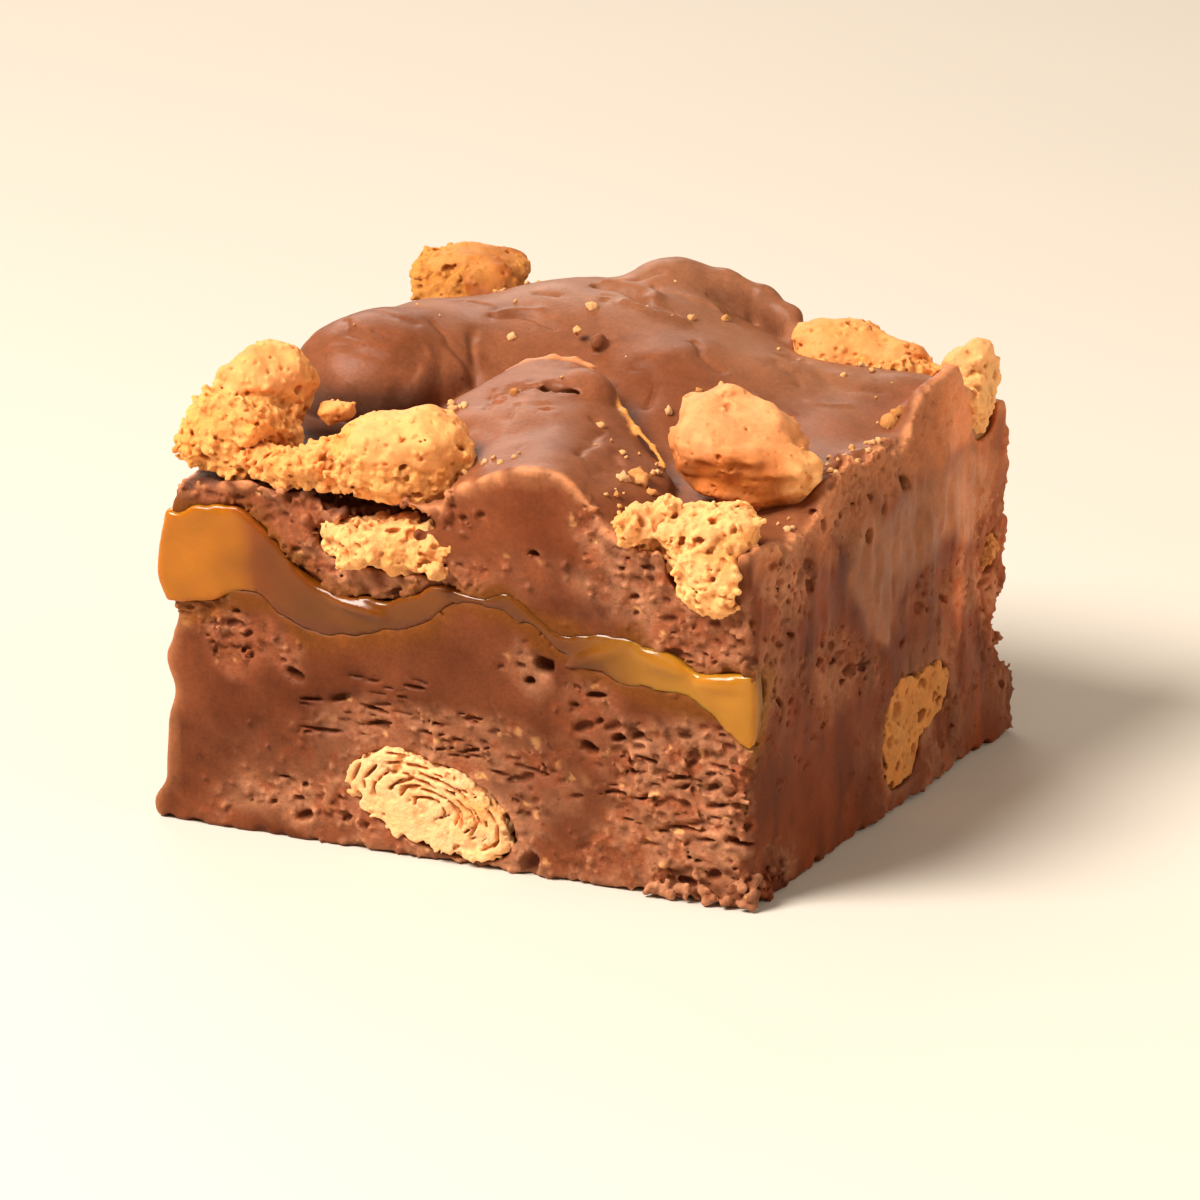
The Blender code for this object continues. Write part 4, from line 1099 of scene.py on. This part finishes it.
def finish_fudge(name, f, g, node, fields, crumb, top=None, edges=()):
    cavity = cavity_of(f, g.h)
    obj, own = mesh_of(name, f, g, 0.03)
    fy, rx, lx, by = fields
    to_front = own[:, 1] - sample2(fy[:, 0, :], g, (0, 2), own)
    to_right = sample2(rx[0], g, (1, 2), own) - own[:, 0]
    to_left = own[:, 0] - sample2(lx[0], g, (1, 2), own)
    to_back = sample2(by[:, 0, :], g, (0, 2), own) - own[:, 1]
    depth = np.minimum(np.minimum(to_front, to_right), np.minimum(to_left, to_back))
    crumb_at, pit = sample(crumb, g, own), sample(cavity, g, own)
    low, high = caramel_low(own[:, 0], own[:, 1]), caramel_top(own[:, 0], own[:, 1])
    gap = np.maximum(low - own[:, 2], own[:, 2] - high)  # distance up or down from the caramel
    broad = points_noise(own, 4.2, 311)
    mid = points_noise(own, 1.5, 312)
    fine = points_noise(own, 0.42, 313)
    colour = mixed(SMOOTH, DEEP, np.clip(0.35 + 0.35 * broad, 0, 1))
    colour = mixed(colour, LIGHTER, np.clip(0.25 + 0.3 * mid - 0.2 * broad, 0, 0.8))
    left_end = smoothstep(-6.0, -11.0, own[:, 0]) * smoothstep(8.0, 10.0, own[:, 2])
    # crumbly places are redder at the left end, and darker in their pits as painted shade
    crumbly = mixed(CRUMBLY, RED_CRUMB_AND_PIT_SHADE, np.clip(0.50 + 0.6 * left_end + 0.25 * mid + 0.30 * fine + 1.1 * pit, 0, 1))
    colour = mixed(colour, crumbly, np.clip(crumb_at * (0.75 + 0.25 * fine), 0, 1))
    # painted shade: pits of the cut faces are darkened toward near-black brown
    colour = mixed(colour, PIT_SHADE, np.clip(1.3 * (pit - 0.22), 0, 1) * np.clip(crumb_at + 0.5, 0, 1))
    # bits of biscuit dust in the crumbly places
    dust = np.clip((points_noise(own, 0.38, 314) - 2.1) * 2.5, 0, 1) * np.clip(crumb_at * 1.4, 0, 1)
    colour = mixed(colour, SANDY * 0.8, 0.75 * dust)
    # the right face is cut smooth, with caramel drawn thinly over it in a pale smear partly painted as sheen
    at_right = smoothstep(0.9, 0.2, to_right) * smoothstep(0.0, 0.6, to_front)
    colour = mixed(colour, right_face(own, colour, crumbly, crumb_at, mid), 0.95 * at_right)
    smear_and_sheen = smear_and_sheen_of(own) * at_right
    u, v = own[:, 0] + 20, own[:, 1] + 20
    def near_patch(a, b, ca, cb, ra, rb):
        return np.exp(-((a - ca) / ra) ** 2 - ((b - cb) / rb) ** 2)
    at_front = smoothstep(0.8, 0.2, to_front)
    colour = colour * (1 + at_front * (0.30 * near_patch(u, own[:, 2], 25.5, 22.5, 4.5, 3.5) - 0.18 * near_patch(u, own[:, 2], 19.5, 12.5, 6.0, 3.5)))[:, None]
    colour = colour * (1 + at_right * (0.95 * smoothstep(27.0, 33.0, v) * smoothstep(5.0, 11.0, own[:, 2]) + 0.45 * near_patch(v, own[:, 2], 6.0, 21.0, 5.0, 3.5)))[:, None]
    # caramel stains the fudge beside it
    stain = smoothstep(1.3, 0.0, gap + 0.35 * mid) * smoothstep(0.9, 0.3, depth) * (1 - at_right)
    colour = mixed(colour, OLIVE * 1.1, 0.75 * stain)
    if top is not None:
        on_top = smoothstep(-0.8, -0.15, sample(top, g, own)) * smoothstep(0.15, 0.7, depth)
        # painted sheen: the top gets a lighter, greyer brown than the cut faces
        top_tone_and_sheen = mixed(TOP_TONE_AND_PAINTED_SHEEN, SMOOTH, np.clip(0.18 + 0.16 * broad + 0.10 * mid, 0, 0.7))
        colour = mixed(colour, top_tone_and_sheen, on_top * (1 - 0.7 * crumb_at))
        # painted highlight: a light line along the top's cut edges
        rim = np.exp(-(sample(top, g, own) / 0.42) ** 2) * np.exp(-(np.clip(depth, 0, None) / 0.45) ** 2)
        colour = mixed(colour, RIM_HIGHLIGHT, np.clip(1.2 * rim * (0.8 + 0.3 * fine), 0, 0.9))
        # painted glow: the thin fin by the right face is reddened as if light shone through it
        fin_glow = np.exp(-(((own[:, 0] - 17.6) / 1.6) ** 2 + ((own[:, 1] - 8.2) / 2.6) ** 2)) * on_top
        colour = mixed(colour, np.array([0.26, 0.052, 0.014]), 0.7 * fin_glow)
        # painted shade in the slot under the split biscuit: darker at its mouth
        hollow = np.exp(-((own[:, 0] + 5.6) / 5.6) ** 4 - ((own[:, 2] - 22.6) / 1.3) ** 2) * smoothstep(0.3, 1.2, to_front) * smoothstep(5.0, 3.0, to_front)
        colour = mixed(colour, RED_CRUMB_AND_PIT_SHADE * 0.32, 0.85 * hollow)
        # painted shade under the front of the rolled fold
        under_fold_shade = smoothstep(27.2, 25.4, own[:, 2]) * smoothstep(-3.5, -6.5, own[:, 1]) * smoothstep(-6.5, -9.0, own[:, 0]) * on_top
        colour = mixed(colour, np.array([0.080, 0.036, 0.024]), 0.8 * under_fold_shade)
        # painted shade deeper inside the same slot
        deep_slot_shade = np.exp(-((own[:, 0] + 6.1) / 5.0) ** 4 - ((own[:, 2] - 22.5) / 1.2) ** 2) * smoothstep(-19.7, -18.8, own[:, 1]) * smoothstep(-14.0, -15.0, own[:, 1])
        colour = colour * (1 - 0.6 * deep_slot_shade[:, None])
        # painted sheen: the top turns lighter and greyer toward the back
        behind = smoothstep(1.0, 9.0, own[:, 1]) * on_top
        colour = colour * (1 + behind[:, None] * np.array([0.10, 0.30, 0.50]))
    else:
        on_top = np.zeros(len(own), np.float32)
        # painted highlight: a light line down the front left edge
        rim = np.exp(-(np.minimum(to_front, to_left) / 0.5) ** 2) * np.exp(-(np.maximum(to_front, to_left) / 0.6) ** 2)
        colour = mixed(colour, RIM_HIGHLIGHT, 0.5 * rim)
    for field, tone, reach in edges:
        colour = mixed(colour, tone, np.clip(1.15 - sample(field, g, own) / reach, 0, 1))
    colour = colour * (1 + 0.05 * fine)[:, None]
    paint(obj, colour)
    rough = 0.50 + 0.22 * crumb_at - 0.08 * on_top - 0.10 * smear_and_sheen
    attribute(obj, "rough", rough)
    attribute(obj, "crumb", np.clip(crumb_at + 0.12, 0, 1) * (1 - 0.75 * on_top))
    pieces.append((obj, node, "fudge"))
    return obj, own


def sample2(field, g, axes, own):
    """Reads a face's height field at points."""
    i, j = axes
    s = (own[:, i] - g.lo[i]) / g.h
    t = (own[:, j] - g.lo[j]) / g.h
    s, t = np.clip(s, 0, field.shape[0] - 1.001), np.clip(t, 0, field.shape[1] - 1.001)
    si, ti = s.astype(int), t.astype(int)
    sf, tf = s - si, t - ti
    return (field[si, ti] * (1 - sf) * (1 - tf) + field[si + 1, ti] * sf * (1 - tf) + field[si, ti + 1] * (1 - sf) * tf + field[si + 1, ti + 1] * sf * tf)


g = body_grid(-0.6, 19.2)
side, *fields = sides(g)
f = smax(side, g.Z - ragged(g, 0) - 0.12, 0.1)
f = smax(f, -g.Z, 0.3)
f, crumb = crumble(f, g, fields, 400)
f = np.maximum(f, -g.Z)
f = make_pockets(cut_holes(f, g), g)
f = chip_edges(f, g)
fudge_lower, own = finish_fudge("fudge_lower_body", f, g, "fudge_lower", fields, crumb)

g = body_grid(7.4, 23.8, 1.4)
side, fy, rx, lx, by = sides(g)
# the cut caramel stands a little proud where it is thick and soft
thick = (caramel_top(g.X, g.Y) - caramel_low(g.X, g.Y))
swell = 0.26 * smoothstep(1.5, 5.0, thick) * smoothstep(-15, -19, g.X) + 0.02
c_top, c_low = ragged(g, 1), ragged(g, 0)
round_off = (0.06 + 0.18 * smoothstep(2.5, 4.5, thick)).astype(np.float32)
crisp = (1 - 0.85 * smoothstep(18.0, 19.6, g.X)).astype(np.float32)
f = smax(smax(side - swell * crisp + 0.45 * smoothstep(18.0, 19.6, g.X) * smoothstep(-19.2, -18.0, g.Y), g.Z - c_top, round_off * crisp), c_low - g.Z, round_off * crisp) + 0.02 * noise3(g, 2.0, 97)
f = np.ascontiguousarray(f, np.float32)
for at, radii, lean in (((-1.9, -19.95, 14.8), (1.9, 0.50, 0.42), 12), ((9.2, -19.90, 14.9), (2.2, 0.34, 0.50), 24), ((13.9, -19.95, 15.1), (1.8, 0.45, 0.50), -14), ((17.6, -19.95, 14.3), (1.5, 0.4, 0.5), 0), ((-7.0, -19.95, 15.9), (2.0, 0.35, 0.4), -10)):
    stamp(f, g, at, radii, turn_matrix(0, -lean, 0), cut=False, soft=0.35)
caramel, own = mesh_of("caramel_body", f.astype(np.float32), g)
# amber where it is thick at the left corner, olive where it thins out, honey in the wedge by the right corner
u = own[:, 0] + 20 + 0.7 * points_noise(own, 2.2, 321)
amber = mixed(AMBER, AMBER_MID, smoothstep(2.5, 5.5, u))
amber = mixed(amber, OLIVE, smoothstep(5.0, 9.5, u))
amber = mixed(amber, HONEY, smoothstep(26.5, 35.0, u))
amber = amber * (1 + 0.06 * points_noise(own, 1.1, 322))[:, None]
at_right = smoothstep(18.8, 19.6, own[:, 0]) * smoothstep(-19.9, -19.3, own[:, 1])
none = np.zeros(len(own), np.float32)
side_colour = right_face(own, amber, amber, none, points_noise(own, 1.5, 312))
amber = mixed(amber, side_colour, at_right)
rise = own[:, 2] - caramel_low(own[:, 0], own[:, 1]) + 0.25 * points_noise(own, 0.9, 323)
low_blend = smoothstep(0.9, 0.0, rise) * smoothstep(4.0, 7.0, u) * smoothstep(33.0, 27.0, u) * (1 - at_right)
amber = mixed(amber, SMOOTH, 0.75 * low_blend)
paint(caramel, amber)
attribute(caramel, "dull", at_right * (1 - 0.3 * smear_and_sheen_of(own)))
pieces.append((caramel, "caramel_layer", "caramel"))

g = body_grid(11.4, 32.6)
side, *fields = sides(g)
drawn = smoothstep(18.9, 19.3, g.X) * smoothstep(-19.4, -18.2, g.Y + 0.35 * noise2(g.axes[1], g.axes[2], 1.0, 45)[None, :, :])
under = ragged(g, 0)
f = smax(side - 0.02 * drawn + 0.35 * smoothstep(0.0, 1.1, under - 0.3 - g.Z) * drawn, ragged(g, 1) - 0.12 - (caramel_top(g.X, g.Y) - caramel_low(g.X, g.Y) + 1.3) * drawn - g.Z, 0.1)
top = top_surface(g)
f = smax(f, top, 0.3)
f, crumb = crumble(f, g, fields, 500)
f = make_pockets(cut_holes(f, g), g)
stamp(f, g, (-6.1, -20.6, 22.4), (4.8, 3.8, 1.15), turn_matrix(0, 6, 0), soft=0.1)
slot = np.exp(-(((g.X + 5.6) / 6.0) ** 4 + ((g.Z - 22.3) / 1.6) ** 2)) * smoothstep(-17.0, -18.2, g.Y)
scatter(f, g, slot.astype(np.float32), 3.0, (0.16, 0.42), 720, tilt=(60, 60, 60), soft=0.04)
scatter(f, g, slot.astype(np.float32), 2.0, (0.14, 0.40), 721, cut=True)
crest = chain(g, CREST)
f = smin(f, crest, 0.35)
edge = chain(g, EDGE)
f = smin(f, edge, 0.3)
# the lobe that hangs over a short slit, the bubbles and the short creases of the folds
stamp(f, g, (1.2, -4.2, 26.9), (2.3, 1.6, 1.45), turn_matrix(0, 14, -32), cut=False, soft=0.5)
stamp(f, g, (0.0, -6.3, 26.9), (2.2, 0.7, 0.75), turn_matrix(-24, 4, 20), soft=0.3)
stamp(f, g, (2.4, -6.1, 26.0), (1.5, 0.6, 0.5), turn_matrix(-20, 14, -30), soft=0.12)
# short wrinkles in the skin of the rolled fold, on its front
for x, z, long, lean in ((-15.6, 28.6, 1.7, -12), (-12.7, 28.2, 1.9, 8), (-10.9, 27.3, 1.2, 20)):
    y = -1.6 - 6.2 * math.sqrt(max(0.05, 1 - ((x + 14.6) / 5.9) ** 2 - ((z - 25.6) / 4.5) ** 2))
    stamp(f, g, (x, y - 0.34, z), (long, 0.55, 0.16), turn_matrix(0, lean, 0), soft=0.4)
stamp(f, g, (-1.7, 3.3, 28.2), (0.45, 0.75, 0.6), cut=False, soft=0.25)
stamp(f, g, (-1.3, 2.6, 28.35), (0.5, 0.25, 0.2), turn_matrix(0, 0, 10), soft=0.1)
stamp(f, g, (-3.3, 3.2, 28.6), (0.3, 0.4, 0.25), cut=False, soft=0.2)
for at, radii, turn in (
    ((-13.2, 0.6, 28.75), (0.13, 0.13, 0.5), (0, 0, 0)), ((-9.5, -1.0, 27.0), (0.6, 0.25, 0.35), (0, 0, 0)),
):
    stamp(f, g, at, radii, turn_matrix(*turn), soft=0.12)
# the crest is painted in the rim highlight colour, the caramel edge in orange
fudge_upper, own = finish_fudge("fudge_upper_body", f, g, "fudge_upper", fields, crumb, top, ((edge, np.array([0.58, 0.24, 0.055]), 0.22), (crest, RIM_HIGHLIGHT, 0.22)))

upper_field, upper_grid = f, g

for node, lump in LUMPS.items():
    pieces.append((lump_mesh(node, lump), node, "biscuit"))


def ground_at(x, y):
    """Height of the finished top at a point of the plan."""
    i, j = int(round((x - upper_grid.lo[0]) / upper_grid.h)), int(round((y - upper_grid.lo[1]) / upper_grid.h))
    column = upper_field[i, j]
    inside = np.nonzero(column < 0)[0]
    return None if not len(inside) else upper_grid.lo[2] + (inside[-1] + 0.5) * upper_grid.h


def loose_crumbs():
    """Biscuit dust and crumbs lying on the top: one mesh of small broken grains."""
    rng = np.random.default_rng(700)
    spots = [(11.6, -1.9, 0.62), (12.3, -1.4, 0.55), (12.9, -1.8, 0.5), (9.6, 0.2, 0.5), (10.2, 0.0, 0.38), (17.6, 6.0, 0.6), (17.9, 6.8, 0.5), (-3.3, 3.4, 0.28), (-7.6, 2.6, 0.32), (-4.0, 7.0, 0.3), (1.9, 9.6, 0.26), (-2.5, -7.2, 0.3), (4.4, -8.8, 0.28), (9.0, -13.2, 0.6), (9.6, -13.8, 0.5),
             (8.8, -14.8, 0.42), (10.4, -14.2, 0.36), (-8.8, -6.4, 0.5), (-8.2, -6.0, 0.42), (-6.2, -8.6, 0.28), (-5.8, -9.2, 0.32), (-5.2, -8.8, 0.26), (6.4, 1.2, 0.24), (3.2, 12.0, 0.26), (12.6, 10.0, 0.22), (5.6, -1.6, 0.3)]
    spots += [(x, y, r) for x, y, r in zip(rng.uniform(-19, 19, 36), rng.uniform(-19, 19, 36), rng.uniform(0.07, 0.15, 36))]
    near = [(-11.5, -16.5), (0.6, -17.5), (10.2, -17.5), (18.6, -12.0), (8.0, -10.0), (-12.5, -12.5), (-18.6, -12.0), (12.0, 13.6), (-12.0, 11.0), (18.8, -3.0), (18.9, 0.0), (18.9, -6.0)]
    for cx, cy in near:
        spots += [(cx + dx, cy + dy, r) for dx, dy, r in zip(rng.normal(0, 0.9, 8), rng.normal(0, 0.7, 8), rng.uniform(0.08, 0.22, 8))]
    points, tris, tone = [], [], []
    phi = (1 + 5 ** 0.5) / 2
    ico = np.array([(-1, phi, 0), (1, phi, 0), (-1, -phi, 0), (1, -phi, 0), (0, -1, phi), (0, 1, phi), (0, -1, -phi), (0, 1, -phi), (phi, 0, -1), (phi, 0, 1), (-phi, 0, -1), (-phi, 0, 1)]) / math.hypot(1, phi)
    faces = [(0, 11, 5), (0, 5, 1), (0, 1, 7), (0, 7, 10), (0, 10, 11), (1, 5, 9), (5, 11, 4), (11, 10, 2), (10, 7, 6), (7, 1, 8), (3, 9, 4), (3, 4, 2), (3, 2, 6), (3, 6, 8), (3, 8, 9), (4, 9, 5), (2, 4, 11), (6, 2, 10), (8, 6, 7), (9, 8, 1)]
    verts, cells, seen = [tuple(v) for v in ico], [], {}
    for a, b, c in faces:
        mids = []
        for p, q in ((a, b), (b, c), (c, a)):
            key = (min(p, q), max(p, q))
            if key not in seen:
                m = np.array(verts[p]) + np.array(verts[q])
                seen[key] = len(verts)
                verts.append(tuple(m / np.linalg.norm(m)))
            mids.append(seen[key])
        cells += [(a, mids[0], mids[2]), (b, mids[1], mids[0]), (c, mids[2], mids[1]), tuple(mids)]
    verts, cells = np.array(verts), np.array(cells)
    for x, y, r in spots:
        z = ground_at(x, y) if abs(x) < 19.6 and abs(y) < 19.6 else None
        if z is None:
            continue
        v = verts * (1 + 0.22 * rng.standard_normal((len(verts), 1))) * rng.uniform(0.75, 1.25, 3)
        v = v @ turn_matrix(*rng.uniform(-180, 180, 3)).T * r
        tris.append(cells + sum(len(p) for p in points))
        points.append(v + (x, y, z + 0.2 * r))
        tone.append(np.full(len(v), rng.random()))
    own, tone = np.concatenate(points), np.concatenate(tone)
    obj = object_of("loose_crumbs", own, np.concatenate(tris), np.zeros((0, 4), np.int64))
    attribute(obj, "crust", np.zeros(len(own)))
    paint(obj, mixed(mixed(GOLD, PALE, tone), DARK_CRUMB_AND_CREVICE_SHADE, np.clip(0.5 - 2 * tone, 0, 1)) * 0.8)
    return obj


crumbs = loose_crumbs()


# ------------------------------------------------------------------ finishes

class Tree:
    """A material's nodes, built by short calls. Lengths are in mm."""

    def __init__(self, name):
        self.mat = bpy.data.materials.new(name)
        self.mat.use_nodes = True
        self.t = self.mat.node_tree
        self.shader = self.t.nodes["Principled BSDF"]
        self.where = self.t.nodes.new("ShaderNodeTexCoord").outputs["Object"]

    def node(self, kind, inputs=(), **settings):
        n = self.t.nodes.new(kind)
        for key, value in settings.items():
            setattr(n, key, value)
        for key, value in dict(inputs).items():
            self.link(n.inputs[key], value)
        return n

    def link(self, socket, value):
        if isinstance(value, bpy.types.NodeSocket):
            self.t.links.new(value, socket)
        else:
            socket.default_value = value

    def noise(self, size, detail=3.0, rough=0.55, stretch=(1, 1, 1)):
        where = self.node("ShaderNodeMapping", {"Vector": self.where, "Scale": stretch}).outputs["Vector"]
        return self.node("ShaderNodeTexNoise", {"Vector": where, "Scale": 1000.0 / size, "Detail": detail, "Roughness": rough}).outputs["Fac"]

    def attr(self, name, colour=False):
        return self.node("ShaderNodeAttribute", attribute_name=name).outputs["Color" if colour else "Fac"]

    def remap(self, value, lo, hi, a=0.0, b=1.0):
        return self.node("ShaderNodeMapRange", {"Value": value, "From Min": lo, "From Max": hi, "To Min": a, "To Max": b}).outputs["Result"]

    def math(self, op, a, b):
        n = self.node("ShaderNodeMath", operation=op)
        self.link(n.inputs[0], a)
        self.link(n.inputs[1], b)
        return n.outputs["Value"]

    def scaled(self, colour, value):
        n = self.node("ShaderNodeVectorMath", {0: colour}, operation="SCALE")
        self.link(n.inputs["Scale"], value)
        return n.outputs["Vector"]

    def mix(self, fac, a, b):
        n = self.node("ShaderNodeMix", data_type="RGBA")
        self.link(n.inputs[0], fac)
        self.link(n.inputs[6], a)
        self.link(n.inputs[7], b)
        return n.outputs[2]

    def bump(self, height, distance_mm, strength=1.0, after=None):
        n = self.node("ShaderNodeBump", {"Height": height, "Distance": distance_mm * MM, "Strength": strength})
        if after is not None:
            self.link(n.inputs["Normal"], after)
        return n.outputs["Normal"]

    def set(self, **values):
        for key, value in values.items():
            self.link(self.shader.inputs[key.replace("_", " ")], value)
        return self.mat


def fudge_finish():
    t = Tree("fudge")
    tint, crumb = t.attr("tint", True), t.attr("crumb")
    fine, grain, broad = t.noise(0.26, 3, 0.7), t.noise(0.9, 3), t.noise(5.0, 3)
    level = t.math("ADD", t.remap(fine, 0.25, 0.75, -0.17, 0.17), t.remap(grain, 0.3, 0.7, 0.93, 1.07))
    colour = t.scaled(tint, level)
    rough = t.math("ADD", t.attr("rough"), t.remap(broad, 0.3, 0.7, -0.06, 0.06))
    relief = t.bump(t.noise(1.7, 3), 0.10, 0.35)
    relief = t.bump(t.noise(0.34, 3, 0.6), 0.16, t.remap(crumb, 0.0, 1.0, 0.10, 0.85), relief)
    return t.set(Base_Color=colour, Roughness=rough, Normal=relief, Subsurface_Weight=0.25, Subsurface_Radius=(1.0, 0.40, 0.20), Subsurface_Scale=0.0006, Specular_IOR_Level=0.12)


def caramel_finish():
    t = Tree("caramel")
    tint = t.attr("tint", True)
    colour = t.scaled(tint, t.remap(t.noise(2.4, 3), 0.3, 0.7, 0.92, 1.08))
    rough = t.math("ADD", t.remap(t.noise(1.4, 3), 0.3, 0.7, 0.15, 0.25), t.math("MULTIPLY", t.attr("dull"), 0.3))
    relief = t.bump(t.noise(1.9, 3, stretch=(1, 1, 1.8)), 0.12, 0.4)
    relief = t.bump(t.noise(0.4, 2), 0.05, 0.2, relief)
    return t.set(Base_Color=colour, Roughness=rough, Normal=relief, Subsurface_Weight=0.9, Subsurface_Radius=(1.0, 0.45, 0.10), Subsurface_Scale=0.0012, Specular_IOR_Level=0.28)


def biscuit_finish():
    t = Tree("biscuit")
    tint, crust = t.attr("tint", True), t.attr("crust")
    level = t.math("ADD", t.remap(t.noise(0.30, 3), 0.25, 0.75, -0.12, 0.12), t.remap(t.noise(1.1, 3), 0.3, 0.7, 0.94, 1.06))
    colour = t.scaled(tint, level)
    rough = t.math("ADD", t.remap(crust, 0.0, 1.0, 0.88, 0.66), t.remap(t.noise(1.2, 2), 0.3, 0.7, -0.04, 0.04))
    relief = t.bump(t.noise(0.26, 3, 0.65), 0.15, t.remap(crust, 0.0, 1.0, 0.9, 0.25))
    return t.set(Base_Color=colour, Roughness=rough, Normal=relief, Subsurface_Weight=0.2, Subsurface_Radius=(1.0, 0.55, 0.25), Subsurface_Scale=0.0005, Specular_IOR_Level=0.3)


FINISHES = {"fudge": fudge_finish(), "caramel": caramel_finish(), "biscuit": biscuit_finish()}

crumbs.data.materials.append(FINISHES["biscuit"])
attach(crumbs, "root")

for obj, node, slot in pieces:
    obj.data.materials.append(FINISHES[slot])
    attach(obj, "root")
    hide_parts(node)
    print("piece", obj.name, len(obj.data.polygons))

# ------------------------------------------------------------------ stage, lights, camera

def area(name, at, target, size, power, colour):
    data = bpy.data.lights.new(name, "AREA")
    data.shape = "DISK"
    data.size = size
    data.energy = power
    data.color = colour
    obj = bpy.data.objects.new(name, data)
    obj.location = at
    obj.rotation_euler = (Vector(target) - Vector(at)).to_track_quat("-Z", "Y").to_euler()
    bpy.context.scene.collection.objects.link(obj)
    return obj


bpy.ops.mesh.primitive_plane_add(size=8.0, location=(0, 0, float(cad_lo[2])))
floor = bpy.context.object
floor.name = "floor"
t = Tree("floor")
floor.data.materials.append(t.set(Base_Color=t.mix(t.noise(60.0, 3), (0.62, 0.575, 0.515, 1), (0.64, 0.595, 0.53, 1)), Roughness=0.9, Specular_IOR_Level=0.1))

bpy.context.scene.view_settings.view_transform = "Standard"
world = bpy.data.worlds.new("world")
bpy.context.scene.world = world
world.use_nodes = True
nodes = world.node_tree.nodes
seen = nodes["Background"]
seen.inputs["Color"].default_value = (1.0, 0.863, 0.686, 1)
soft = nodes.new("ShaderNodeBackground")
soft.inputs["Color"].default_value = (1.0, 0.82, 0.62, 1)
soft.inputs["Strength"].default_value = 0.35
both = nodes.new("ShaderNodeMixShader")
path = nodes.new("ShaderNodeLightPath")
links = world.node_tree.links
links.new(path.outputs["Is Camera Ray"], both.inputs[0])
links.new(soft.outputs[0], both.inputs[1])
links.new(seen.outputs[0], both.inputs[2])
links.new(both.outputs[0], nodes["World Output"].inputs["Surface"])

area("key", (-0.20, -0.30, 0.42), (0, 0, 0.015), 0.26, 5.7, (1.0, 0.93, 0.84))
area("back", (-0.30, 0.42, 0.30), (0, 0, 0.020), 0.34, 1.1, (1.0, 0.90, 0.80))
area("right", (0.42, 0.02, 0.16), (0, 0, 0.012), 0.36, 0.75, (1.0, 0.90, 0.78))

AZ, EL, F_PX, SCALE = 26.0, 16.6, 2500.0, 6.32
a, e = math.radians(AZ), math.radians(EL)
back = Vector((math.sin(a) * math.cos(e), -math.cos(a) * math.cos(e), math.sin(e)))
target = (Vector((0, 0, 12.0)) + Vector(SHIFT.tolist())) * MM
cam_data = bpy.data.cameras.new("camera")
cam = bpy.data.objects.new("camera", cam_data)
bpy.context.scene.collection.objects.link(cam)
cam.location = target + back * (F_PX / SCALE * MM)
cam.rotation_euler = (-back).to_track_quat("-Z", "Y").to_euler()
cam_data.sensor_width = 36.0
ZOOM = 2.45
cam_data.lens = 36.0 * F_PX / 1200.0 * ZOOM
cam_data.clip_start = 0.01
cam_data.shift_x = -0.0
cam_data.shift_y = 0.0
bpy.context.scene.camera = cam
